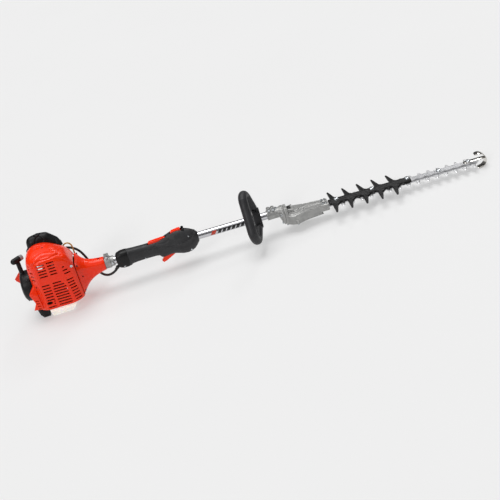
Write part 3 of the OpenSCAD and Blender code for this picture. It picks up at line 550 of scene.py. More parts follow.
def make_finishes(look):
    """Every finish of the tool, named for the real material."""
    # In each finish below, the paler tone on sharp edges is partly wear and partly a painted highlight
    orange, pale = look.orange, look.orange_pale
    # Gloss-moulded glass-filled nylon: deep even colour, sharp soft-box highlights, faint moulding ripple
    FINISH["orange_nylon"] = finish_of("Moulded gloss nylon, orange", orange, pale, 42, (0.2, 0.3), 9, 0.05,
                                       worn_and_lit_tone="#FF5A28", wear_and_highlight=0.25, Specular_IOR_Level=0.3, Coat_Weight=0.08,
                                       Coat_Roughness=0.1)
    # Fine spark-eroded grain: near-black with a satin sheen that breaks up highlights
    FINISH["black_nylon"] = finish_of("Moulded grained nylon, black", look.black, "#121213", 14, (0.36, 0.5), 0.9,
                                      0.05, worn_and_lit_tone="#38383A", wear_and_highlight=0.4, Specular_IOR_Level=0.3)
    # Soft-touch grip moulding: dark grey, dull, with coarser leather-like grain
    FINISH["grip_grey"] = finish_of("Moulded soft-touch grip, dark grey", look.grey, "#303032", 22, (0.42, 0.56), 1.3,
                                    0.1, worn_and_lit_tone="#4E4E50", wear_and_highlight=0.35, Specular_IOR_Level=0.36)
    # Pale soft-touch insert in the end of the pull grip: dull mid grey with fine grain
    FINISH["grip_pale"] = finish_of("Moulded soft-touch insert, grey", "#8E8E90", "#9B9B9D", 8, (0.45, 0.6), 1.3,
                                    0.08)
    # Drawn and polished aluminium tube: long fine lines along the pole, bright with crisp dark reflections
    FINISH["tube"] = finish_of("Drawn aluminium, polished", "#D2D2D5", "#C2C2C6", 12, (0.16, 0.26), 0.8, 0.006,
                               stretch=(40, 1, 1), Metallic=1.0)
    # Die-cast aluminium, bead blasted and lacquered: plain mid grey, matt sparkle, paler on its edges, partly wear
    # and partly a painted highlight
    FINISH["cast"] = finish_of("Die-cast aluminium, bead blasted", "#AEAEAC", "#969695", 16, (0.36, 0.5), 1.1, 0.07,
                               worn_and_lit_tone="#D6D6D4", wear_and_highlight=0.7, Metallic=0.55)
    # Ground spring steel: cool grey with fine grinding marks across the blade
    FINISH["blade"] = finish_of("Ground blade steel", "#D6D6D8", "#BEBFC1", 9, (0.34, 0.46), 0.7, 0.012,
                                stretch=(1, 22, 1), worn_and_lit_tone="#EFEFEF", wear_and_highlight=0.5, Metallic=0.85)
    # Machined steel inside the gear head and engine: darker, oily satin
    FINISH["steel"] = finish_of("Machined steel, oiled", "#8F9093", "#6E6F72", 7, (0.25, 0.4), 0.8, 0.02,
                                worn_and_lit_tone="#C8C8C8", wear_and_highlight=0.5, Metallic=1.0)
    # Steel of the muffler: brown-black and dull, a painted shade that keeps the cooling slots in front of it dark,
    # with straw patches
    FINISH["muffler_painted_shade"] = finish_of("Muffler steel, darkened as painted shade", "#1E1B19", "#3A302A", 14, (0.5, 0.7), 1.2, 0.04,
                                    worn_and_lit_tone="#5A5048", wear_and_highlight=0.3, Metallic=0.5)
    # Black-oxide screws: dark, oily, with a thin highlight on the rim
    FINISH["black_screw"] = finish_of("Black-oxide steel", "#1B1B1D", "#2A2A2C", 3, (0.3, 0.45), 0.7, 0.02,
                                      worn_and_lit_tone="#6C6C6E", wear_and_highlight=0.4, Metallic=0.7)
    # Bright zinc plating on screws: pale blue-white with small dull spots
    FINISH["zinc"] = finish_of("Bright zinc plate", "#D9DEE2", "#B4BABF", 3, (0.16, 0.34), 0.6, 0.02,
                               worn_and_lit_tone="#FFFFFF", wear_and_highlight=0.5, Metallic=1.0)
    # Nickel-plated spring sheet: mirror-like with long soft waves from bending
    FINISH["nickel"] = finish_of("Nickel-plated sheet", "#DEDCD8", "#CFCCC6", 18, (0.1, 0.2), 12, 0.12,
                                 stretch=(1, 3, 1), Metallic=1.0)
    # Natural blow-moulded polyethylene: milky white; a faint glow of its own is painted light that lifts the tank out
    # of the engine's shade and stands in for deep scattering
    FINISH["tank"] = finish_of("Blow-moulded polyethylene, natural", "#FFFDF7", "#F8F4E8", 35, (0.28, 0.42), 3, 0.05,
                               Emission_Color=(1, 0.97, 0.9, 1), Emission_Strength=0.22,
                               Subsurface_Weight=0.35, Subsurface_Scale=0.01, Subsurface_Radius=(1.0, 0.85, 0.6),
                               IOR=1.5)
    # Clear flexible primer bulb: shiny and slightly yellow
    FINISH["bulb"] = finish_of("Clear vinyl bulb", "#E8E4D4", "#DCD6BE", 8, (0.08, 0.16), 3, 0.02,
                               Transmission_Weight=0.7, IOR=1.5)
    # Extruded rubber: dull black with bloom in broad grey patches
    FINISH["rubber"] = finish_of("Extruded rubber, black", "#161617", "#242425", 10, (0.5, 0.68), 1.0, 0.05, IOR=1.5)
    # Amber vinyl fuel hose: translucent honey colour
    FINISH["hose"] = finish_of("Vinyl fuel hose, amber", "#F2C878", "#E0A950", 12, (0.16, 0.26), 3, 0.03,
                               Transmission_Weight=0.25, IOR=1.5)
    # Reticulated foam: open straw-coloured cells
    FINISH["foam"] = finish_of("Open-cell foam", "#C8B36A", "#7F6C30", 1.8, (0.8, 0.95), 1.4, 0.8, Sheen_Weight=0.4)
    # Glazed alumina of the spark plug: hard white gloss
    FINISH["ceramic"] = finish_of("Glazed alumina", "#EDEDEA", "#D5D5D0", 6, (0.1, 0.2), 2, 0.01, IOR=1.7)
    # Printed vinyl film on the pole: flat ink with a faint gloss
    FINISH["ink_black"] = finish_of("Printed film, black", "#0C0C0C", "#141414", 8, (0.3, 0.4), 2, 0.01, IOR=1.5)
    FINISH["ink_red"] = finish_of("Printed film, red", "#C9412B", "#B93622", 8, (0.3, 0.4), 2, 0.01, IOR=1.5)


def edge_wear_and_highlight(mesh):
    """Stores how sharply the surface turns outwards at each point, for the paler edges in the finishes: partly wear,
    partly a painted highlight.
    """
    bm = bmesh.new()
    bm.from_mesh(mesh)
    layer = bm.verts.layers.float.new("edge")
    for v in bm.verts:
        turn = 0.0
        for e in v.link_edges:
            if len(e.link_faces) == 2:
                turn = max(turn, e.calc_face_angle_signed(0.0) / max(e.calc_length(), 0.4))
        v[layer] = min(1.0, max(0.0, turn * 1.6))
    bm.to_mesh(mesh)
    bm.free()


def done(obj, name, finish, slot, body="tool", replaces=(), crisp=38):
    """Finishes a piece: in its place in metres, smooth with crisp edges, in its finish, on its body."""
    edge_wear_and_highlight(obj.data)
    obj.data.transform(REST)
    obj.name = obj.data.name = name
    obj.data.materials.clear()
    obj.data.materials.append(FINISH[finish])
    obj.data.polygons.foreach_set("material_index", [0] * len(obj.data.polygons))
    obj.data.polygons.foreach_set("use_smooth", [True] * len(obj.data.polygons))
    obj.data.set_sharp_from_angle(angle=math.radians(crisp))
    if body:
        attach(obj, body)
    if replaces:
        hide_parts(*replaces)
    return obj


# ---- Pieces ----

# Engine cover outlines (x, z) at stations along Y: from the bottom left corner up the starter's side,
# over the top and down the pole's side
COWL = {
    -76: [(-41, -67), (-42, -48), (-41, 10), (-39, 60), (-36, 88), (-24, 101), (-4, 103), (14, 102), (26, 94),
          (33, 72), (40, 34), (45, -40), (42, -65), (0, -68)],
    -70: [(-50, -70), (-52, -50), (-50, 10), (-48, 60), (-43, 94), (-28, 108), (-5, 110), (18, 109), (38, 101),
          (52, 82), (62, 42), (62, -42), (55, -68), (0, -71)],
    -58: [(-62, -72), (-66, -50), (-62, 10), (-60, 58), (-54, 96), (-38, 112), (-10, 116), (18, 115), (46, 106),
          (66, 88), (79, 44), (78, -42), (68, -70), (0, -73)],
    -40: [(-72, -73), (-76, -50), (-71, 10), (-70, 58), (-64, 98), (-46, 118), (-14, 124), (18, 121), (46, 109),
          (68, 90), (82, 44), (82, -45), (73, -72), (0, -73)],
    0: [(-70, -73), (-73, -45), (-72, 10), (-71, 60), (-65, 100), (-48, 122), (-18, 128), (14, 124), (40, 111),
        (64, 92), (83, 42), (82, -48), (74, -72), (0, -73)],
    34: [(-66, -73), (-70, -42), (-70, 10), (-70, 58), (-62, 94), (-44, 115), (-14, 120), (14, 112), (42, 95),
         (62, 79), (79, 40), (80, -50), (72, -70), (0, -73)],
}


def cowl_form():
    """Closed form of the engine covers: a flat near face, round shoulders and the scalloped flare by the foot."""
    rings = [ringed([(x, y, z) for x, z in outline], 140) for y, outline in COWL.items()]
    across = [spline([ring[k] for ring in rings], 30) for k in range(140)]
    form = loft([[line[i] for line in across] for i in range(30)])
    shelf = hull([(-60, -48, 30), (-61, -64, 26), (-84, -69, 4), (-87, -67, -6), (-58, -75, -8), (-58, -48, -8),
                  (-84, -58, 0)])
    apron = hull([(-86, -68, -5), (-76, -71, -33), (-58, -76, -6), (-56, -76, -60), (-58, -55, -20), (-58, -55, -60),
                  (-77, -64, -34)])
    point = hull([(-75, -70, -32), (-79, -71, -45), (-90, -71, -59), (-60, -76, -61), (-58, -60, -60),
                  (-60, -75, -30), (-85, -64, -59)])
    return fused([form, shelf, apron, point], 1.9, rounds=12)


def slots(low, high, z, height=None, count=1, step=10.0, shift=0.0, depth=(-96, -64)):
    """Tool for a column of round-ended slots, each one a step above and a shift beside the last."""
    height = height or bpy.context.scene.trimmer_sizes.slot_height / MM
    slot = prism(rounded((low, z - height / 2), (high, z + height / 2), height * 0.42, 3), *depth, "y")
    return repeated(slot, count, (shift, 0, step))


def engine_covers(sizes):
    """Orange covers with their creases, cooling slots, exhaust outlet and screw pocket."""
    form = cowl_form()
    creased(form, laid(form, [(-37, 107), (-26, 114), (-6, 118), (16, 117), (34, 112)]), 13, -2.8)
    creased(form, laid(form, [(-43, 92), (-40, 101), (-18, 109), (12, 109), (30, 110), (43, 108), (54, 102)]),
            4.5, 2.2)
    creased(form, laid(form, [(0, 103), (24, 103), (48, 95), (64, 81), (74, 63), (77, 40), (77, 0), (76, -40)]),
            4, 1.3)
    creased(form, laid(form, [(-60, 96), (-57, 60), (-60, 20), (-57, 0)]), 4, 0.9)
    creased(form, laid(form, [(-84, 2), (-70, -5), (-58, -6), (-50, -4)]), 4, -1.2)
    creased(form, laid(form, [(-52, 20), (-48, -10), (-48, -40), (-49, -62)]), 4, 1.1)
    creased(form, laid(form, [(20, -40), (44, -28), (60, -4), (70, 30)], "z", 300), 4, -1.4)
    modify(form, "SMOOTH", factor=0.5, iterations=3)
    dented(form, (-12, -9, 90), (19, 13), 5.0, 5)
    dented(form, (-2, -12, 90), (8, 9), 3.0, 3)
    sliced(form, (78.9, 0, 0), (1, 0, 0), close=False)
    sliced(form, (0, 33.4, 0), (0, 1, 0), close=False)
    modify(form, "SOLIDIFY", thickness=sizes.cover_wall / MM, offset=-1, use_even_offset=True,
           use_quality_normals=True)
    outward(form)
    seam = [(-120, 100), (-43, 101), (-18, 109.4), (30, 109.4), (48, 99), (62, 84), (72, 72), (120, 70), (120, 200),
            (-120, 200)]
    lid = prism(seam, -120, 120, "y")
    upper = cut(copied(form), lid, operation="INTERSECT", keep=True)
    lower = cut(form, lid)
    # Cooling slots: near face, front column, top corner, rear column and the flare by the foot
    holes = [slots(-32, -5, 53, count=5, step=10.3), slots(2, 26, 54, count=5, step=10.6),
             slots(-37, -11, -34, count=6, step=10.9), slots(-3.5, 40, -59, count=7, step=10, shift=-0.3),
             slots(-2, 34, 11), slots(-1, 27, 21.5), slots(-40, -14, -60), slots(-17, -12, -41.5),
             slots(-18, -13, -50),
             slots(52, 73, -57, count=8, step=10.8, shift=-1.1, depth=(-92, -30)),
             slots(45, 65, 43, depth=(-92, -30)), slots(43, 59, 55, depth=(-92, -30)),
             slots(44, 52, 67, depth=(-92, -30)), slots(-61, -50, 44, count=3, step=13, depth=(-92, -40)),
             slots(-58, -53, 18, depth=(-92, -40)), slots(-60, -56, 92, count=2, step=-9, depth=(-92, -30)),
             slots(-73, -62, -55, 3.6, count=4, step=9.6, depth=(-92, -40))]
    outlet = prism([(-31.5 + 9.6 * math.cos(a), -44.6 + 5.6 * math.sin(a))
                    for a in np.linspace(0, math.tau, 32, endpoint=False)], -96, -64, "y")
    cut(lower, *holes, outlet, rod((72, -90, 57), (72, -61, 57), 5.2), rod((45, 0, 0), (90, 0, 0), 50.2, n=64),
        rod((-69.5, 0, 0), (-120, 0, 0), STARTER_R, n=64))
    cut(upper, rod((-69.5, 0, 0), (-120, 0, 0), STARTER_R, n=64))
    # Black plate inside the cover behind the rear slots: a dark sheet that paints the shade seen through them
    plate = prism(rounded((-68, 10), (-49, 88), 5), 26, 28, "y")
    done(plate, "inner_plate", "black_nylon", "black_plastic")
    done(lower, "engine_cowl", "orange_nylon", "orange_plastic", replaces=["engine_cover"])
    done(upper, "top_shroud_skin", "orange_nylon", "orange_plastic", replaces=["top_shroud"])


def clutch_cone():
    """Orange clutch housing: a flange, a quick flare and a long taper to the pole, with two soft ridges."""
    keys = [(79, 53, 51, -66, 4.5), (83.5, 53, 51, -66, 4.5), (85, 50, 48.5, -63.5, 4), (90, 44, 43, -59, 3.6),
            (97, 37.5, 37.5, -52, 3.1), (108, 30.5, 31, -43.5, 2.7), (120, 26.5, 27, -36.5, 2.5),
            (134, 23.8, 24.5, -30.5, 2.4), (150, 22, 22.8, -25.5, 2.3), (164, 21.2, 21.8, -22.2, 2.2),
            (168.5, 20.6, 21.2, -21.4, 2.2)]
    rings = []
    stations = np.concatenate([np.linspace(79, 90, 9), np.linspace(92, 168.5, 40)])
    table = np.array(keys)
    for x in stations:
        w, top, low, power = (float(np.interp(x, table[:, 0], table[:, i])) for i in (1, 2, 3, 4))
        rings.append([(x, y, z) for y, z in oval(w, top, low, power, 96)])
    for x, r in ((169, 19), (169, 13.4), (150, 13.4)):
        rings.append([(x, y, z) for y, z in circle(r, 96)])
    for x, scale in ((140, 0.7), (97, 0.82), (84, 0.9), (79, 0.9)):
        w, top, low, power = (float(np.interp(x, table[:, 0], table[:, i])) for i in (1, 2, 3, 4))
        rings.append([(x, y, z) for y, z in oval(w * scale, top * scale, low * scale, power, 96)])
    obj = loft(rings, closed=True)
    modify(obj, "SMOOTH", factor=0.5, iterations=2)
    for side in (-1, 1):
        creased(obj, [(90, side * 40, 24), (110, side * 27, 17), (135, side * 21.5, 12), (160, side * 19, 9)],
                5, -0.9)
        creased(obj, [(88, side * 43, -20), (110, side * 29, -18), (130, side * 23, -14)], 5, 0.9)
    cut(obj, rod((152, 0, 14), (152, 0, 40), 5.2), rod((92, -60, -3), (92, -33, -3), 2.6))
    done(obj, "clutch_cone", "orange_nylon", "orange_plastic", replaces=["clutch_housing"])


def cover_bolts():
    """Screws of the engine covers, the clutch housing and the throttle handle, bright where they show."""
    bright = [((72, -61.4, 57), (0, -1, 0)), ((152, 0, 15), (0, 0, 1))]
    dark = [((84, y, z), (1, 0, 0)) for y in (-42, 42) for z in (40, -52)]
    small = [((228, -15.5, -23), (0, -1, 0)), ((300, -15.5, -19), (0, -1, 0)), ((452, -20.5, -31), (0, -1, 0)),
             ((452, -20.5, 19), (0, -1, 0))]
    done(joined([screws(bright, 4.4, 3.2, 2.2), screws(small, 2.9, 1.8, 1.5)]), "cover_bolts", "zinc", "zinc_screws",
         replaces=["cover_screws"])
    done(screws(dark, 3.4, 2.6, 1.8), "flange_bolts", "black_screw", "steel")


def recoil_starter():
    """Black recoil starter: stepped disc with radial vents and lugs, orange wing, ribbed stem and T grip."""
    x0, x1 = -108, -70
    disc = spun([(x1, 6), (x1, 50.5), (x1 - 4, 51), (x1 - 24, 51), (x0 + 8, 49.5), (x0 + 5, 47), (x0 + 2, 42),
                 (x0 + 1, 39), (x0 + 2.5, 37), (x0 + 2.5, 17), (x0, 14), (x0, 4), (x0 + 3, 2.5), (x0 + 5, 2.5),
                 (x0 + 5, 5), (x0 + 6, 13), (x0 + 6, 45), (x1 - 1, 46.5), (x1 - 1, 8), (x1 - 4, 6)], (0, 0, 0), n=96)
    neck = rod((-95, 0, 42), (-95, 0, 54), 7.2, 6.6)
    modify(disc, "BEVEL", width=0.8, segments=2, limit_method="ANGLE", angle_limit=math.radians(35))
    vent = prism([(-2.2, 20), (2.2, 20), (3.6, 35), (-3.6, 35)], x0 - 4, x0 + 9, "x")
    cut(disc, repeated(vent, 12, turn=(math.tau / 12, 0, 0)), block((-140, -22, -49), (-104.5, 22, -26)))
    lug = fused([rod((-86, 44, 0), (-72, 53.5, 0), 5.2), rod((-84, 50, 0), (-70.5, 50, 0), 5.2)], 0.9, 4)
    lugs = repeated(lug, 4, turn=(math.tau / 4, 0, 0))
    moved(lugs, Matrix.Rotation(math.radians(45), 4, "X"))
    flat = fused([block((-104, -20, -47), (-100, 20, -27))], 0.9, 3)
    shell = joined([disc, neck, lugs])
    done(shell, "starter_shell", "black_nylon", "black_plastic", replaces=["starter_housing"], crisp=30)
    done(flat, "starter_plate", "grip_grey", "black_plastic")

    wing = hull([(-108.4, 20, 45), (-108.4, 30, 42), (-130, 24, 22), (-129, 30, 20), (-128, 25, 13), (-108.4, 20, -6),
                 (-108.4, 34, -8), (-109, 44, 24)])
    wing = fused([wing], 1.0, 4)
    creased(wing, [(-112, 20, 34), (-120, 22, 24), (-127, 24, 17)], 3, 0.9)
    done(wing, "starter_wing", "orange_nylon", "orange_plastic", replaces=["starter_guard"])

    core = rod((-95, 0, 54.4), (-95, 0, 94), 5.4)
    rib = spun([(54.6, 3), (54.6, 6.2), (55.6, 7.4), (57, 7.4), (58.2, 6.2), (58.2, 3)], (-95, 0, 0), "z", 40)
    ribs = repeated(rib, 8, (0, 0, 4.4))
    bar = fused([rod((0, 0, 85), (0, 0, 98), 6, 8.6), ball((0, -12, 100), 9.9),
                 rod((0, -12, 100), (0, 12, 100), 9.9)], 1.0, 6)
    turn = Matrix.Translation((-95, 0, 0)) @ Matrix.Rotation(math.radians(-54), 4, "Z")
    done(joined([core, ribs, moved(bar, turn)]), "pull_grip", "black_nylon", "black_plastic", "grip",
         ["starter_grip"], crisp=32)
    cap = fused([rod((0, 10, 100), (0, 21.6, 100), 10.2, 8.6), ball((0, 13.4, 100), 8.9)], 0.8, 5)
    done(moved(cap, turn), "pull_grip_cap", "grip_pale", "black_plastic", "grip")

    rope = along([(-95, 0, z) for z in np.linspace(32.5, 61, 24)], 1.75, 12, "pull_rope")
    done(rope, "pull_rope", "rubber", "rubber", None)
    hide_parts("starter_rope")
    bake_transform(rope)


def air_cleaner():
    """Black domed air cleaner cover with its arched boss, rim and catch, and the knob that holds it."""
    bumps = ((-38, 114, 22), (-16, 120, 20), (4, 117, 20), (30, 99, 15))
    base = [(-60, 46), (-60, 74), (-44, 86), (10, 86), (50, 62), (54, 44), (46, 36), (-50, 36)]
    points = [(x, y, z) for x, y in base for z in (86.3, 92)]
    for x, z, r in bumps:
        points += [(x + r * math.cos(a) * math.cos(b), 62 + r * math.sin(a) * math.cos(b), z + r * math.sin(b))
                   for a in np.linspace(0, math.tau, 24, endpoint=False) for b in np.linspace(-0.2, math.pi / 2, 9)]
    dome = fused([hull(points), prism([(x * 1.02, 61 + (y - 61) * 1.03) for x, y in base], 86.3, 90)], 1.5, 6)
    creased(dome, laid(dome, [(-58, 97), (-30, 100), (0, 100), (30, 99), (54, 95)]), 3.5, 1.4)
    creased(dome, laid(dome, [(22, 132), (30, 121), (35, 110), (37, 100)]), 4, 1.6)
    arch = [(-14.5 + 13 * math.cos(a), 122 + 13 * math.sin(a)) for a in np.linspace(-0.2, math.pi + 0.2, 15)]
    creased(dome, laid(dome, arch), 3.2, 2.6)
    cut(dome, prism([(x * 0.92, 61 + (y - 61) * 0.9) for x, y in base], 80, 88.6),
        rod((-18, 61, 133.6), (-18, 61, 160), 12.4))
    tab = fused([hull([(-62, 44, 90), (-62, 56, 90), (-67, 46, 93), (-67, 54, 93), (-60, 44, 104), (-60, 56, 104),
                       (-65, 46, 100)])], 0.9, 4)
    done(joined([dome, tab]), "air_cover", "black_nylon", "black_plastic", replaces=["air_cleaner_cover"])
    low, high = 134.2, 138.8
    knob = spun([(low, 1), (low, 10), (high - 1.2, 9.4), (high, 8), (high + 0.2, 1)], (-18, 61, 0), "z", 48)
    flute = rod((10.6, 0, low - 1), (10.4, 0, high + 2), 1.5, n=16)
    flutes = repeated(flute, 12, turn=(0, 0, math.tau / 12))
    cut(knob, moved(flutes, Matrix.Translation((-18, 61, 0))))
    done(knob, "cover_knob", "black_nylon", "black_plastic", "filter_knob", ["air_cleaner_knob"])


def tank_and_foot():
    """Milky blow-moulded fuel tank with its pinch seam and neck, black foot and fluted filler cap."""
    levels = ((-74.5, -43, 47, 56), (-86, -44, 44, 57), (-100, -43, 36, 54), (-112, -38, 26, 48))
    body = hull([(x, y, z) for z, x0, x1, w in levels for x in (x0, x1) for y in (-w, w)])
    body = fused([body, rod((4, 50, -90), (4, 65.5, -90), 14)], 1.8, 8)
    seam = fused([prism(rounded((-44.6, -57.8), (44.6, 57.8), 10), -87, -85.4)], 0.7, 1, 12000)
    tank = joined([body, seam])
    clip_to_floor(tank)
    done(tank, "tank_shell", "tank", "tank_plastic", replaces=["fuel_tank"])
    foot = fused([prism([(-84, -74), (-47, -74), (-46, -90), (-50, -111), (-70, -111), (-80, -96)], -45, 45, "y"),
                  prism([(-78, -80), (-52, -80), (-52, -104), (-68, -104)], -48, 48, "y")], 1.4, 9)
    clip_to_floor(foot)
    done(foot, "foot_shell", "black_nylon", "black_plastic", replaces=["rear_foot"])
    cap = spun([(57, 1), (57, 10.4), (66.4, 10.4), (66.4, 16.6), (67.4, 17.5), (74.6, 17.2), (76, 15.6), (75, 12.5),
                (74.2, 9), (74.6, 1)], (4, 0, -90), "y", 72)
    flute = rod((18.6, 68.5, 0), (18.3, 80, 0), 1.7, n=16)
    cut(cap, moved(repeated(flute, 16, turn=(0, math.tau / 16, 0)), Matrix.Translation((4, 0, -90))))
    bar = fused([block((-8, 74, -92.2), (16, 77.6, -87.8))], 0.8, 3)
    done(joined([cap, bar]), "filler_cap", "black_nylon", "black_plastic", "fuel_cap", ["fuel_cap"])


def clip_to_floor(obj, height=0.02):
    """Cuts what reaches below the floor."""
    floor = REST.inverted() @ Vector((0, 0, height * MM))
    sliced(obj, floor, REST.inverted().to_3x3() @ Vector((0, 0, -1)))


CABLE = [(207, -9, -20), (196, -10, -31), (182, -8, -40), (166, -1, -46), (150, 12, -46), (136, 28, -38),
         (124, 43, -24), (114, 54, -6), (105, 61, 14), (95, 66, 32), (82, 67, 47), (66, 66, 57), (50, 62, 63),
         (34, 59, 66), (19, 59, 66)]
FUEL = [(19, 52, 52), (28, 51, 52.5), (37, 51.5, 56), (43.5, 52.5, 63), (48, 54, 72), (54.5, 55.5, 78.5),
        (62, 56.5, 80.5), (70, 57, 78), (75.5, 57, 71), (77.5, 57, 62), (77.5, 57, 40), (76, 57, 14), (71, 56, -14),
        (61, 54, -40), (48, 50, -60), (40, 46, -71.6)]


def hoses():
    """Throttle cable in its black sleeve, with collars at both its ends, and the amber fuel line."""
    for name, route, radius, finish, slot, node, stiff in (
            ("cable_sleeve", CABLE, 4.0, "rubber", "rubber", "throttle_cable", "stiff"),
            ("fuel_hose", FUEL, 2.5, "hose", "fuel_hose", "fuel_line", "medium")):
        line = spline(route, 40)
        hose = along(line, radius, 20, name)
        done(hose, name, finish, slot, replaces=[node])
    collar = lambda a, b, r: rod(a, b, r, r * 0.86, 28)
    ends = joined([collar((206, -9, -20), (196, -10, -30), 5.4), collar((28, 59, 66), (17, 59, 66), 5.0),
                   collar((205, -9.1, -21.2), (201, -9.5, -25.6), 6.2)])
    done(ends, "cable_ends", "rubber", "rubber", crisp=50)


HANDLE = np.array([
    # x, half width, top, bottom, squareness
    (206, 14, 15, -19, 3.2), (209, 16.5, 19.5, -25, 3.2), (214, 18.2, 22, -29.5, 3.2), (224, 19.2, 25.5, -32.5, 3.2),
    (238, 19.2, 26.2, -33, 3.1), (250, 18.6, 25.6, -31.5, 2.9), (258, 18.2, 25, -27.5, 2.8),
    (270, 18, 24.6, -26.5, 2.6), (300, 18, 24, -25.6, 2.5), (335, 18, 24, -25.6, 2.5), (347, 18.4, 24.8, -28, 2.5),
    (352, 18.8, 25.6, -36.5, 2.6), (362, 19.6, 28.5, -37.5, 2.6), (380, 21, 34.5, -34.5, 2.6),
    (396, 22.6, 40.5, -35, 2.5), (410, 25, 44.5, -39.5, 2.4), (424, 26.6, 45.4, -44.5, 2.3), (438, 27, 43, -46, 2.25),
    (452, 25.8, 38, -44.5, 2.2), (464, 23, 32.5, -38.5, 2.2), (474, 19.5, 26, -29.5, 2.15),
    (481, 16.4, 19, -20.5, 2.1), (485, 13.8, 14.4, -15.6, 2.0)])


def handle_skin(x, bulge=0.0, n=72):
    w, top, low, power = (float(np.interp(x, HANDLE[:, 0], HANDLE[:, i])) for i in (1, 2, 3, 4))
    return [(x, y, z) for y, z in oval(w + bulge, top + bulge, low - bulge, power, n)]


def throttle_handle():
    """Two-piece soft-touch handle with its bulbs and grooves, orange lever and trigger, and stop switch."""
    stations = np.linspace(206, 485, 150)
    body = loft([handle_skin(x) for x in stations])
    modify(body, "SMOOTH", factor=0.5, iterations=5)
    for side, start in ((-1, -300), (1, 300)):
        on = lambda *points: laid(body, points, "y", start)
        creased(body, on((412, -6), (430, -8), (448, -6), (464, 2)), 13, 2.6)
        creased(body, on((300, 11), (330, 9), (354, 6.6), (380, 4.5), (400, 2.4), (412, 1.6)), 3.0, 2.4)
        creased(body, on((402, 1.5), (422, 2), (442, 5), (462, 12), (476, 20)), 3.4, -2.0)
        creased(body, on((246, 22), (245, 10), (247, -6), (251, -20), (256, -27)), 3.4, 2.0)
        creased(body, on((345, 20), (362, 18), (378, 20), (392, 28)), 5, 1.8)
        creased(body, on((386, 30), (402, 24), (420, 22), (440, 24), (462, 22)), 6, -1.4)
        creased(body, on((262, -14), (300, -16), (342, -16)), 3, 1.0)
    cut(body, block((344, -7.6, -70), (415, 7.6, -8)), block((315, -7.6, 8), (384, 7.6, 70)),
        block((396, -8.6, 15), (446, 8.6, 70)), rod((200, 0, 0), (490, 0, 0), POLE_R + 0.25, n=64),
        rod((190, -9, -20), (240, -9, -20), 4.6))
    for side, name, node in ((1, "handle_shell_right", "handle_right"), (-1, "handle_shell_left", "handle_left")):
        half = sliced(copied(body), (0, -0.22 * side, 0), (0, side, 0))
        bevelled(outward(half), 0.5, 2, 40)
        done(half, name, "grip_grey", "grey_plastic", replaces=[node], crisp=42)
    drop(body)

    boot = fused([loft([[(x, y * k, z * k) for x, y, z in handle_skin(x, 0.5)] for x, k in
                        [(207.5, 0.97)] + [(x, 1) for x in np.linspace(210, 245, 12)] + [(247, 0.985)]])], 1.3, 5)
    inside = fused([loft([handle_skin(x, -1.4) for x in np.linspace(209, 262, 24)])], 1.6, 0)
    cut(boot, rod((190, 0, 0), (270, 0, 0), 15.2, n=48), inside, rod((190, -9, -20), (240, -9, -20), 5.2),
        rod((228, -40, -23), (228, -10, -23), 4.4))
    done(boot, "handle_boot", "black_nylon", "black_plastic")

    trigger = fused([prism([(403, -33), (364, -53), (353, -56.5), (347.8, -50.5), (359, -37.5), (384, -22.5),
                            (404, -21.5)], -6.2, 6.2, "y"), rod((404, -6.3, -27), (404, 6.3, -27), 5.8)], 0.8, 6)
    done(trigger, "trigger_blade", "orange_nylon", "orange_plastic", "trigger", ["throttle_trigger"])
    lever = fused([prism([(320, 22), (368, 17), (374, 15.6), (379, 20), (379, 30), (372, 32.4), (346, 31.4),
                          (324, 29.4), (320, 26)], -6.2, 6.2, "y"),
                   rod((374, -6.3, 20.5), (374, 6.3, 20.5), 4.8)], 0.8, 6)
    rib = fused([block((326, -4.6, 29.4), (327.6, 4.6, 30.9))], 0.5, 1)
    lever = joined([lever, repeated(rib, 5, (4.2, 0, 0.16))])
    done(lever, "lockout_blade", "orange_nylon", "orange_plastic", "lockout", ["lockout_lever"])
    switch = fused([prism([(399.4, 20), (431, 20), (434, 46.6), (428, 48.6), (404, 45), (399.4, 40)],
                          -7.2, 7.2, "y")], 0.7, 4)
    notch = prism([(408, 44.4), (410.6, 44.6), (411, 60), (407.6, 60)], -8, 8, "y")
    cut(switch, repeated(notch, 4, (6, 0, 0.75)))
    done(switch, "switch_slider", "orange_nylon", "orange_plastic", "switch", ["stop_switch"])
    # Two cheeks, so the slider passes between them
    bump = joined([fused([rod((440.5, side * 7.9, 42), (440.5, side * 11, 42), 4.8),
                          block((436.5, min(side * 7.9, side * 11), 34), (444.5, max(side * 7.9, side * 11), 42))],
                         0.6, 3) for side in (-1, 1)])
    done(bump, "switch_stop", "black_nylon", "black_plastic")


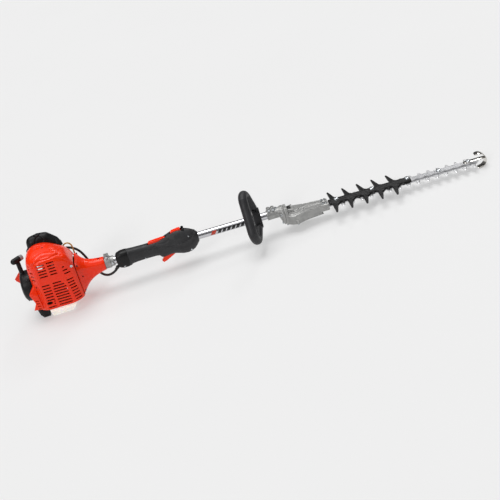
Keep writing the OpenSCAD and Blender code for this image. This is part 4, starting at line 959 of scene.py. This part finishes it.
def loop_grip(sizes):
    """Front loop handle: a padded bent bar with a moulded foot on a bracket, and the wells for its four screws."""
    top, shoulder, half, arm, a = 103, 74, 76, 52, math.radians(44)
    r = sizes.loop_radius / MM
    bend = top - shoulder
    side = [(half - bend + bend * math.cos(a) - s * math.sin(a), shoulder - bend * math.sin(a) - s * math.cos(a))
            for s in np.linspace(arm, 4, 8)]
    side += [(half - bend + bend * math.cos(t), shoulder + bend * math.sin(t))
             for t in np.linspace(-a, math.pi / 2, 16)]
    path = [(0, y, z) for y, z in side] + [(0, -y, z) for y, z in reversed(side)]
    path = spline(path, 120)
    lean = Matrix.Rotation(-LOOP_LEAN, 4, "Y")
    bar = along([lean @ p for p in path], r, 40)
    foot = hull([(x, y, z) for x, y, z in ((-13, -34, 0.3), (13, -34, 0.3), (-13, 34, 0.3), (13, 34, 0.3),
                                           (-13, -33, 15), (13, -33, 15), (-13, 33, 15), (13, 33, 15),
                                           (-12, -18, 20), (12, -18, 20), (-12, 18, 20), (12, 18, 20))])
    handle = fused([bar, foot], 1.5, 6)
    moved(handle, LOOP)
    wells = [rod(LOOP @ Vector((x, y, 19.8)), LOOP @ Vector((x, y, 60)), 5.2) for y in (-23, 23) for x in (-6, 6)]
    cut(handle, rod((600, 0, 0), (760, 0, 0), POLE_R + 0.3, n=64), *wells)
    sliced(handle, LOOP @ Vector((0, 0, 0.2)), LOOP.to_3x3() @ Vector((0, 0, -1)))
    done(handle, "loop_bar", "grip_grey", "grey_plastic", replaces=["loop_handle"])
    clamp = fused([block((-13, -34, -12), (13, 34, -0.3)), rod((-13, 0, 0), (13, 0, 0), 20, n=64)], 1.2, 5)
    cut(clamp, block((-14, -40, -0.3), (14, 40, 30)))
    moved(clamp, LOOP)
    cut(clamp, rod((600, 0, 0), (760, 0, 0), POLE_R + 0.1, n=64))
    done(clamp, "loop_bracket", "black_nylon", "grey_plastic", replaces=["loop_clamp"])


def decal(sizes):
    """Printed stripes on the near side of the pole: a red block and a row of slanted black bars."""
    def patch(x0, x1, a0, a1, slant, name):
        rings = []
        for i in range(13):
            a = math.radians(a0 + (a1 - a0) * i / 12)
            shift = slant * (i / 12 - 0.5)
            rings.append([(x + shift, -r * math.cos(a), r * math.sin(a)) for x, r in (
                (x0, POLE_R + 0.03), (x0, POLE_R + 0.12), (x1, POLE_R + 0.12), (x1, POLE_R + 0.03))])
        return loft(rings, name)
    red = patch(528, 543, -28, 34, 8, "red")
    done(red, "stripe_red", "ink_red", "tube_aluminium", crisp=60)
    black = joined([patch(551 + 15.5 * i, 562 + 15.5 * i, -28, 34, 8, "black") for i in range(sizes.stripe_count)])
    done(black, "stripes_black", "ink_black", "tube_aluminium", crisp=60)


GEAR_X = 810
FLANGE = [(-16, 15), (16, 15), (25, 4), (25, -36), (20, -40), (-20, -40), (-25, -36), (-25, 4)]
NECK = [(810, -37.8), (850, -27), (896, -21), (896, 21), (850, 27), (810, 37.8)]
LOBES = [(GEAR_X + 37.5 * math.cos(math.radians(a)), 37.5 * math.sin(math.radians(a))) for a in range(30, 360, 60)]


def gear_head():
    """Cast gear head: split socket, flange, domed gear chamber with its boss and ribs, neck and bottom cover."""
    rear = fused([rod((718, 0, 0), (770, 0, 0), 16.8, n=64), rod((727, -7.6, 20.5), (727, 7.6, 20.5), 6.8),
                  rod((741, -7.6, 20.5), (741, 7.6, 20.5), 6.8), block((722, -7.6, 10), (746, 7.6, 22)),
                  rod((745, 0, 12), (757, 0, 12), 6),
                  hull([(757, 17 * math.cos(a), 17 * math.sin(a)) for a in np.linspace(0, math.tau, 24)]
                       + [(768, y, z) for y, z in FLANGE]),
                  prism(FLANGE, 767.5, 774.7, "x")], 1.0, 5)
    cut(rear, rod((700, 0, 0), (760.2, 0, 0), POLE_R + 0.15, n=64), rod((759, 0, 0), (790, 0, 0), 9),
        rod((762.8, 0, 0), (790, 0, 0), 11.1), block((700, -1.1, 5), (752, 1.1, 40)),
        rod((751, 0, 15.8), (751, 0, 30), 5),
        rod((727, -30, 20.5), (727, -7.9, 20.5), 5), rod((741, -30, 20.5), (741, -7.9, 20.5), 5))
    for y in (-19.5, 19.5):
        for z in (-4, -32):
            cut(rear, rod((740, y, z), (766, y, z), 4.2))
    done(rear, "gear_socket", "cast", "cast_aluminium", replaces=["gearcase_rear"])

    web = lambda y: hull([(818, y - 2.4, -10), (818, y + 2.4, -10), (897, y - 2, -10), (897, y + 2, -10),
                          (822, y - 1.4, -5.6), (822, y + 1.4, -5.6), (893, y - 1.2, -7), (893, y + 1.2, -7)])
    parts = [prism(FLANGE, 775.2, 786, "x"), rod((GEAR_X, 0, -40), (GEAR_X, 0, -11), 38, n=72),
             rod((GEAR_X, 0, -12), (GEAR_X, 0, -6.6), 35, 30.5, n=72),
             rod((GEAR_X, 0, -8), (GEAR_X, 0, -3.4), 15.5, 14.4),
             prism(NECK, -40, -9.4), prism(rounded((880, -22), (924, 22), 5), -34, -11), web(0.0),
             prism([(786, -12), (806, -20), (806, 20), (786, 12)], -12, 6.5),
             hull([(776, y, z) for y, z in ((-15, 14), (15, 14), (-20, -8), (20, -8))]
                  + [(800, -14, -4), (800, 14, -4), (808, -10, -8), (808, 10, -8)])]
    for side in (-1, 1):
        parts.append(hull([(840, side * 27, -12), (840, side * 29.6, -12), (896, side * 19, -12),
                           (896, side * 21.6, -12), (842, side * 27.4, -7.6), (894, side * 20, -7.6)]))
        parts.append(rod((912, side * 12, -12), (912, side * 12, -9.6), 6.6))
    for x, y in LOBES:
        if x > 776:
            parts.append(rod((x, y, -40), (x, y, -28), 5))
    body = sliced(fused(parts, 1.05, 6), (775.2, 0, 0), (-1, 0, 0))
    outward(body)
    cut(body, rod((GEAR_X, 0, -60), (GEAR_X, 0, -10.2), 33.2, n=72), rod((770, 0, 0), (800, 0, 0), 13.2),
        prism([(810, -33), (850, -23), (888, -17.5), (888, 17.5), (850, 23), (810, 33)], -60, -13.4),
        block((880, -14.5, -31), (940, 14.5, -23.6)), block((887, -10.3, -25), (940, 10.3, -18.4)),
        rod((GEAR_X, 0, -12), (GEAR_X, 0, -6.1), 10.2))
    for x in (905, 915):
        for y in (-12, 12):
            cut(body, rod((x, y, -18.6), (x, y, 0), 3.0 if x == 915 else 2.8))
    done(body, "gear_case", "cast", "cast_aluminium", replaces=["gearcase_body"])

    cover = fused([rod((GEAR_X, 0, -43), (GEAR_X, 0, -40.2), 38, n=72),
                   prism([(810, -37.8), (850, -27), (900, -21), (900, 21), (850, 27), (810, 37.8)], -43, -40.2),
                   rod((GEAR_X, 0, -43), (GEAR_X, 0, -33), 15)]
                  + [rod((x, y, -43), (x, y, -40.2), 5) for x, y in LOBES if x > 776], 0.9, 3)
    sliced(cover, (775.4, 0, 0), (-1, 0, 0))
    outward(cover)
    cut(cover, rod((GEAR_X, 0, -40), (GEAR_X, 0, -30), 12.1))
    done(cover, "gear_cover", "cast", "cast_aluminium", replaces=["gearcase_cover"])


def clamp_bolts():
    """Socket cap screws of the pole clamps, the loop handle and the gear head."""
    places = [((178.5, -8, 22.5), (0, -1, 0)), ((727, -8, 20.5), (0, -1, 0)), ((741, -8, 20.5), (0, -1, 0)),
              ((751, 0, 16), (0, 0, 1)), ((193, -17, 0), (0, -1, 0))]
    up = LOOP.to_3x3() @ Vector((0, 0, 1))
    loop = [(tuple(LOOP @ Vector((x, y, 20.2))), tuple(up)) for x in (-6, 6) for y in (-23, 23)]
    places += [((766, y, z), (-1, 0, 0)) for y in (-19.5, 19.5) for z in (-4, -32)]
    places += [((x, y, -11), (0, 0, 1)) for x in (905, 915) for y in (-12, 12)]
    under = [((x, y, -43), (0, 0, -1)) for x, y in LOBES if x > 776]
    obj = joined([screws(places, 4.25, 4.0, 2.2), screws(under, 3.4, 2.5, 1.8)])
    shanks = [rod((178.5, -8, 22.5), (178.5, 8.6, 22.5), 2.5, n=20)]
    shanks += [rod((x, -8, 20.5), (x, 8.6, 20.5), 2.5, n=20) for x in (727, 741)]
    done(joined([obj] + shanks), "clamp_bolts", "zinc", "zinc_screws", replaces=["socket_screws"])
    shanks = [rod(LOOP @ Vector((x, y, 20.2)), LOOP @ Vector((x, y, -14)), 2.5, n=20) for x in (-6, 6)
              for y in (-23, 23)]
    done(joined([screws(loop, 4.25, 4.0, 2.2)] + shanks), "loop_screws", "black_screw", "steel")


def blade(name, node, low, high, ground, body):
    """One double-sided blade: a slotted bar and ground teeth, bevelled on the face away from the other blade."""
    bar = prism([(852, -10), (852, 10), (930, 13), (1428, 13), (1436, 8), (1436, -8), (1428, -13), (930, -13)],
                low, high)
    cut(bar, *[prism(rounded((x - 12.8, -4.4), (x + 12.8, 4.4), 4.3), low - 1, high + 1) for x in BOLTS_X])
    flat, sharp = (low + 0.01, high - 0.01) if ground > 0 else (high - 0.01, low + 0.01)
    parts = [bar]
    for side, first, count in ((1, 988.2, 14), (-1, 969.4, 15)):
        wide = [(-9, 12), (-3.3, 34.6), (-2, 35.7), (2, 35.7), (3.3, 34.6), (9, 12)]
        slim = [(-6.6, 12), (-1.7, 32.6), (-1, 33.2), (1, 33.2), (1.7, 32.6), (6.6, 12)]
        middle = (flat * 0.7 + sharp * 0.3)
        tooth = loft([[(x, side * y, z) for x, y in outline] for outline, z in (
            (wide, flat), (wide, middle), (slim, sharp))])
        moved(tooth, Matrix.Translation((first, 0, 0)))
        teeth = repeated(tooth, count - (1 if first + TOOTH_STEP * (count - 1) > 1424 else 0), (TOOTH_STEP, 0, 0))
        parts.append(teeth)
    pin = (high, -22.8) if ground > 0 else (low - 2, low)
    parts.append(rod((872, 0, pin[0]), (872, 0, pin[1]), 4))
    done(joined(parts), name, "blade", "blade_steel", body, [node], crisp=20)


def blades():
    """The two reciprocating blades, one over the other."""
    blade("blade_upper", "upper_blade", -26, -24, 1, "upper_blade")
    blade("blade_lower", "lower_blade", -28.3, -26.3, -1, "lower_blade")


def spiked_guard():
    """Black nylon guard over the bar: a ribbed channel, five pairs of long spikes and short bumps between them."""
    parts = [prism([(-17, -23.1), (17, -23.1), (15.4, -17), (11, -13.6), (-11, -13.6), (-15.4, -17)], 926, 1207, "x"),
             hull([(926, -4, -14), (926, 4, -14), (1207, -4, -14), (1207, 4, -14), (930, -2, -12.6), (930, 2, -12.6),
                   (1203, -2, -12.6), (1203, 2, -12.6)])]
    for side in (-1, 1):
        spike = joined([
            hull([(x, side * y, z) for x, y, z in (
                (-6, 12, -23.2), (16, 12, -23.2), (-5, 12, -16.2), (13, 12, -16.2), (-5.6, 40, -23.2),
                (6.4, 40, -23.2), (-4.8, 40, -17.8), (5.2, 40, -17.8), (-6.4, 72.4, -23), (-0.2, 72.4, -23),
                (-5.8, 73.6, -19),
                (-0.8, 73.6, -19))]),
            hull([(x, side * y, z) for x, y, z in (
                (0, 12, -23.2), (27, 12, -23.2), (0, 12, -17.6), (24, 12, -17.6), (2, 38, -23.2), (8, 36, -23.2),
                (16, 21, -23.2), (15, 21, -18.6), (2, 36, -18.6))])])
        moved(spike, Matrix.Translation((FIRST_SPIKE, 0, 0)))
        parts.append(repeated(spike, SPIKE_COUNT, (SPIKE_STEP, 0, 0)))
        bump = hull([(x, side * y, z) for x, y, z in (
            (-7, 12, -23.2), (7, 12, -23.2), (-6, 12, -18), (6, 12, -18), (-2, 23, -23.2), (2, 23, -23.2),
            (-1.5, 22, -19.4), (1.5, 22, -19.4))])
        moved(bump, Matrix.Translation((FIRST_SPIKE + 33, 0, 0)))
        parts.append(repeated(bump, SPIKE_COUNT, (SPIKE_STEP, 0, 0)))
    for x in BOLTS_X[:3]:
        parts.append(rod((x, 0, -18), (x, 0, -13.6), 11.5))
    guard = fused(parts, 1.15, 4)
    cut(guard, block((920, -10.1, -30), (1215, 10.1, -18.6)),
        *[rod((x, 0, -30), (x, 0, -8), 4.1) for x in BOLTS_X[:3]])
    sliced(guard, (0, 0, -23.25), (0, 0, -1))
    done(outward(guard), "spike_guard_skin", "black_nylon", "black_plastic", replaces=["spike_guard"])


def bar_bolts():
    """Zinc blade bolts: a flanged hexagon head with its threaded end over the bar, and a nut under the blades."""
    heads, nuts, rest = [], [], []
    for x in BOLTS_X:
        top = -13.4 if x < 1207 else (-16.4 if x > 1400 else -18.6)
        heads.append(((x, 0, top + 0.9), (0, 0, 1)))
        nuts.append(((x, 0, -29.9), (0, 0, -1)))
        rest += [rod((x, 0, -30.3), (x, 0, top), 4, n=32), rod((x, 0, top), (x, 0, top + 1.1), 8.5, 8.1),
                 rod((x, 0, -28.8), (x, 0, -30.5), 9), rod((x, 0, top + 4), (x, 0, top + 6), 2.9, 2.5, n=24)]
    obj = joined([screws(heads, 7.2, 3.4, 0.4, 3), screws(nuts, 6.8, 3.4, 0.4, 3)] + rest)
    done(obj, "bar_bolts", "zinc", "zinc_screws", replaces=["blade_bolts"])


def tip_sheet():
    """Nickel-plated sheet bent round the blade tips, held under the last bolt."""
    cx, cz, r, t = 1441, -22, 25.9, 1.1

    def strip(path, width):
        rings = []
        for i, (x, z) in enumerate(path):
            a, b = path[max(i - 1, 0)], path[min(i + 1, len(path) - 1)]
            d = math.hypot(b[0] - a[0], b[1] - a[1])
            nx, nz = -(b[1] - a[1]) / d, (b[0] - a[0]) / d
            w = width(i / (len(path) - 1))
            rings.append([(x + nx * v, y, z + nz * v) for y, v in rounded((-w, -t), (w, t), 0.7, 3)])
        return loft(rings)
    ends = lambda w: lambda s: w * min(1.0, 0.62 + 9 * min(s, 1 - s)) if min(s, 1 - s) < 0.05 else w
    arc = [(cx + r * math.cos(a), cz + r * math.sin(a))
           for a in np.linspace(math.radians(114), math.radians(-100), 60)]
    bow = strip(arc, ends(12))
    strap = strip([(x, -17.5) for x in np.linspace(1391.5, cx + r - 0.6, 40)], ends(9))
    cut(strap, rod((1407, 0, -30), (1407, 0, 0), 4.1))
    sheet = joined([bow, strap])
    clip_to_floor(sheet)
    done(sheet, "tip_sheet", "nickel", "tip_chrome", replaces=["tip_guard"])


CAD_FINISHES = {
    "tube": ["pole_tube"],
    "blade": ["blade_guide_bar"],
    "cast": ["housing_clamp", "crankcase", "cylinder_block", "carburettor", "flywheel", "piston"],
    "steel": ["crankshaft", "connecting_rod", "clutch_shoes", "clutch_drum", "drive_shaft", "bevel_pinion",
              "crank_gear", "upper_rod", "lower_rod", "ball_bearings"],
    "muffler_painted_shade": ["muffler"],
    "black_nylon": ["fan_housing", "starter_reel", "air_cleaner_base", "choke_lever", "ignition_coil"],
    "rubber": ["shaft_bushes", "plug_cap"],
    "foam": ["air_filter"],
    "ceramic": ["spark_plug"],
    "bulb": ["purge_bulb"],
}


def cad_finishes():
    """Finishes for the CAD parts that stay as they are."""
    for finish, nodes in CAD_FINISHES.items():
        for node in nodes:
            mesh = NODES[node].data
            mesh.materials.clear()
            mesh.materials.append(FINISH[finish])


def camera_and_light(look):
    """Camera over the operator's right, pale floor, a dim studio round it, and soft lamps."""
    scene = bpy.context.scene
    scene.view_settings.view_transform = "Standard"
    # Azimuth, elevation and roll of the view, in degrees, and its distance from a point on the pole
    turn, rise, roll = math.radians(-1.9), math.radians(28.2), math.radians(15.4)
    aim, distance = Vector((645, 0, 0)), 3274
    back = Vector((math.sin(turn) * math.cos(rise), -math.cos(turn) * math.cos(rise), math.sin(rise)))
    right = Vector((math.cos(turn), math.sin(turn), 0))
    up = back.cross(right)
    c, s = math.cos(roll), math.sin(roll)
    axes = Matrix([c * right - s * up, s * right + c * up, back]).transposed().to_4x4()
    data = bpy.data.cameras.new("View")
    data.lens, data.sensor_width = 72, 36
    data.shift_x, data.shift_y = 0.0092, -0.0564
    data.clip_end = 100
    camera = bpy.data.objects.new("View", data)
    scene.collection.objects.link(camera)
    lean = REST.to_quaternion().to_matrix().to_4x4()
    camera.matrix_world = Matrix.Translation(REST @ (aim + distance * back)) @ lean @ axes
    scene.camera = camera

    world = bpy.data.worlds.new("Studio")
    world.use_nodes = True
    scene.world = world
    tree = world.node_tree
    tree.nodes.clear()
    where = add(tree, "ShaderNodeTexCoord")
    height = add(tree, "ShaderNodeSeparateXYZ", None, {0: where.outputs["Generated"]})
    ramp = add(tree, "ShaderNodeValToRGB", None, {0: height.outputs[2]})
    stops = ((0.0, 0.3), (0.3, 0.25), (0.48, 0.06), (0.6, 0.12), (0.7, 1.5), (0.8, 1.5), (0.9, 0.8), (1.0, 1.0))
    while len(ramp.color_ramp.elements) < len(stops):
        ramp.color_ramp.elements.new(0.5)
    for element, (place, level) in zip(ramp.color_ramp.elements, stops):
        element.position, element.color = place, (level, level, level, 1)
    sky = add(tree, "ShaderNodeBackground", None, {"Color": ramp.outputs[0], "Strength": look.sky})
    add(tree, "ShaderNodeOutputWorld", None, {0: sky.outputs[0]})

    for name, source, spread_deg, share in (("overhead", (-0.06, 0.16, 1), 40, 1),
                                            ("front", (-0.7, -1, 0.75), 16, 0.42), ("rim", (0.5, 1, 0.8), 12, 0.16)):
        lamp = bpy.data.lights.new(name, "SUN")
        lamp.angle, lamp.energy = math.radians(spread_deg), look.key_power * share
        obj = bpy.data.objects.new(name, lamp)
        obj.rotation_euler = Vector(source).to_track_quat("Z", "Y").to_euler()
        scene.collection.objects.link(obj)

    floor = new_object("floor", [(-30, -30, 0), (30, -30, 0), (30, 30, 0), (-30, 30, 0)], [(0, 1, 2, 3)])
    material, tree, shader = new_finish("Seamless paper, pale grey")
    # Studio paper: even pale grey, lit from itself a little so it stays even to the edges
    tone = spread(tree, noise(tree, 900, (1, 1, 1), 2), 0.985, 1.0)
    shade = add(tree, "ShaderNodeMix", {"data_type": "RGBA", "blend_type": "MULTIPLY"},
                {"Factor": 1.0, 6: colour(look.paper), 7: (1, 1, 1, 1)})
    tree.links.new(tone, shade.inputs[7])
    tree.links.new(shade.outputs[2], shader.inputs["Base Color"])
    shader.inputs["Roughness"].default_value = 0.9
    shader.inputs["Specular IOR Level"].default_value = 0.1
    shader.inputs["Emission Color"].default_value = (1, 1, 1, 1)
    shader.inputs["Emission Strength"].default_value = look.glow
    floor.data.materials.append(material)


# ---- Add-on ----

def tint(name, text, description):
    """A colour property whose default is an sRGB hex value."""
    return bpy.props.FloatVectorProperty(name=name, description=description, subtype="COLOR", size=3, min=0, max=1,
                                         default=colour(text)[:3])


class TRIMMER_PG_look(bpy.types.PropertyGroup):
    """Colours and light that a user would change"""
    orange: tint("Orange", "#FF2C00", "Colour of the orange covers")
    orange_pale: tint("Orange, pale", "#FF3804", "Paler tone in the orange covers")
    black: tint("Black", "#09090A", "Colour of the black mouldings")
    grey: tint("Grip grey", "#262628", "Colour of the soft-touch grips")
    paper: tint("Paper", "#B6B6B6", "Colour of the floor")
    key_power: bpy.props.FloatProperty(name="Key lamp", description="Strength of the lamp overhead", default=1.7,
                                       min=0)
    sky: bpy.props.FloatProperty(name="Sky", description="Brightness of the studio round the tool", default=0.5,
                                 min=0)
    glow: bpy.props.FloatProperty(name="Floor glow", description="Light that the floor gives by itself",
                                  default=0.36, min=0)


class TRIMMER_PG_sizes(bpy.types.PropertyGroup):
    """Sizes that a user would change"""
    slot_height: bpy.props.FloatProperty(name="Slot height", description="Height of a cooling slot", default=0.0046,
                                         min=0.002, max=0.007, unit="LENGTH")
    cover_wall: bpy.props.FloatProperty(name="Cover wall", description="Wall thickness of the engine covers",
                                        default=0.0024, min=0.0015, max=0.004, unit="LENGTH")
    loop_radius: bpy.props.FloatProperty(name="Loop radius", description="Radius of the loop handle's padded bar",
                                         default=0.0148, min=0.01, max=0.016, unit="LENGTH")
    stripe_count: bpy.props.IntProperty(name="Stripes", description="Number of black stripes on the pole", default=6,
                                        min=1, max=8)


class TRIMMER_OT_stage(bpy.types.Operator):
    """Camera, floor, lamps and the studio round them"""
    bl_idname = "trimmer.stage"
    bl_label = "Stage"

    def execute(self, context):
        camera_and_light(context.scene.trimmer_look)
        return {"FINISHED"}


class TRIMMER_OT_prepare(bpy.types.Operator):
    """Finishes and Geometry Nodes trees that the pieces share"""
    bl_idname = "trimmer.prepare"
    bl_label = "Finishes"

    def execute(self, context):
        make_finishes(context.scene.trimmer_look)
        TREES["row"], TREES["bolts"] = row_tree(), bolt_tree()
        return {"FINISHED"}


class TRIMMER_OT_hoses(bpy.types.Operator):
    """Throttle cable and fuel line along their routes"""
    bl_idname = "trimmer.hoses"
    bl_label = "Cable and fuel line"

    def execute(self, context):
        hoses()
        return {"FINISHED"}


class TRIMMER_OT_covers(bpy.types.Operator):
    """Orange engine covers with their cooling slots"""
    bl_idname = "trimmer.covers"
    bl_label = "Engine covers"

    def execute(self, context):
        engine_covers(context.scene.trimmer_sizes)
        return {"FINISHED"}


class TRIMMER_OT_cone(bpy.types.Operator):
    """Orange clutch housing that tapers to the pole"""
    bl_idname = "trimmer.cone"
    bl_label = "Clutch housing"

    def execute(self, context):
        clutch_cone()
        return {"FINISHED"}


class TRIMMER_OT_starter(bpy.types.Operator):
    """Recoil starter with its wing, rope and T grip"""
    bl_idname = "trimmer.starter"
    bl_label = "Recoil starter"

    def execute(self, context):
        recoil_starter()
        return {"FINISHED"}


class TRIMMER_OT_air_cleaner(bpy.types.Operator):
    """Air cleaner cover and its knob"""
    bl_idname = "trimmer.air_cleaner"
    bl_label = "Air cleaner"

    def execute(self, context):
        air_cleaner()
        return {"FINISHED"}


class TRIMMER_OT_tank(bpy.types.Operator):
    """Fuel tank, filler cap and rear foot"""
    bl_idname = "trimmer.tank"
    bl_label = "Tank and foot"

    def execute(self, context):
        tank_and_foot()
        return {"FINISHED"}


class TRIMMER_OT_handle(bpy.types.Operator):
    """Throttle handle with its trigger, lockout and switch"""
    bl_idname = "trimmer.handle"
    bl_label = "Throttle handle"

    def execute(self, context):
        throttle_handle()
        return {"FINISHED"}


class TRIMMER_OT_loop(bpy.types.Operator):
    """Front loop handle and its bracket"""
    bl_idname = "trimmer.loop"
    bl_label = "Loop handle"

    def execute(self, context):
        loop_grip(context.scene.trimmer_sizes)
        return {"FINISHED"}


class TRIMMER_OT_stripes(bpy.types.Operator):
    """Plain printed stripes on the pole"""
    bl_idname = "trimmer.stripes"
    bl_label = "Pole stripes"

    def execute(self, context):
        decal(context.scene.trimmer_sizes)
        return {"FINISHED"}


class TRIMMER_OT_gear_head(bpy.types.Operator):
    """Cast gear head in its three pieces"""
    bl_idname = "trimmer.gear_head"
    bl_label = "Gear head"

    def execute(self, context):
        gear_head()
        return {"FINISHED"}


class TRIMMER_OT_blades(bpy.types.Operator):
    """Upper and lower reciprocating blade"""
    bl_idname = "trimmer.blades"
    bl_label = "Blades"

    def execute(self, context):
        blades()
        return {"FINISHED"}


class TRIMMER_OT_guard(bpy.types.Operator):
    """Black guard with its spikes over the blades"""
    bl_idname = "trimmer.guard"
    bl_label = "Spiked guard"

    def execute(self, context):
        spiked_guard()
        return {"FINISHED"}


class TRIMMER_OT_tip(bpy.types.Operator):
    """Bent sheet round the blade tips"""
    bl_idname = "trimmer.tip"
    bl_label = "Tip guard"

    def execute(self, context):
        tip_sheet()
        return {"FINISHED"}


class TRIMMER_OT_bolts(bpy.types.Operator):
    """All screws and bolts that show"""
    bl_idname = "trimmer.bolts"
    bl_label = "Screws and bolts"

    def execute(self, context):
        cover_bolts()
        clamp_bolts()
        bar_bolts()
        return {"FINISHED"}


class TRIMMER_OT_cad_parts(bpy.types.Operator):
    """Finishes of the CAD parts that stay as they are"""
    bl_idname = "trimmer.cad_parts"
    bl_label = "CAD part finishes"

    def execute(self, context):
        cad_finishes()
        return {"FINISHED"}


STEPS = (
    TRIMMER_OT_stage, TRIMMER_OT_prepare, TRIMMER_OT_hoses, TRIMMER_OT_covers, TRIMMER_OT_cone,
    TRIMMER_OT_starter, TRIMMER_OT_air_cleaner, TRIMMER_OT_tank, TRIMMER_OT_handle, TRIMMER_OT_loop,
    TRIMMER_OT_stripes, TRIMMER_OT_gear_head, TRIMMER_OT_blades, TRIMMER_OT_guard, TRIMMER_OT_tip,
    TRIMMER_OT_bolts, TRIMMER_OT_cad_parts)


class TRIMMER_PT_panel(bpy.types.Panel):
    """Lists what the trimmer is made of"""
    bl_idname = "TRIMMER_PT_panel"
    bl_label = "Trimmer"
    bl_space_type = "VIEW_3D"
    bl_region_type = "UI"
    bl_category = "Trimmer"

    def draw(self, context):
        for group in (context.scene.trimmer_look, context.scene.trimmer_sizes):
            for name in type(group).__annotations__:
                self.layout.prop(group, name)
        for kind in STEPS:
            self.layout.operator(kind.bl_idname)


def register():
    for kind in (TRIMMER_PG_look, TRIMMER_PG_sizes, *STEPS, TRIMMER_PT_panel):
        bpy.utils.register_class(kind)
    bpy.types.Scene.trimmer_look = bpy.props.PointerProperty(type=TRIMMER_PG_look)
    bpy.types.Scene.trimmer_sizes = bpy.props.PointerProperty(type=TRIMMER_PG_sizes)


def unregister():
    del bpy.types.Scene.trimmer_look, bpy.types.Scene.trimmer_sizes
    for kind in (TRIMMER_PT_panel, *STEPS[::-1], TRIMMER_PG_sizes, TRIMMER_PG_look):
        bpy.utils.unregister_class(kind)


def main():
    register()
    for kind in STEPS:
        getattr(bpy.ops.trimmer, kind.bl_idname.split(".")[1])()


if __name__ == "__main__":
    main()
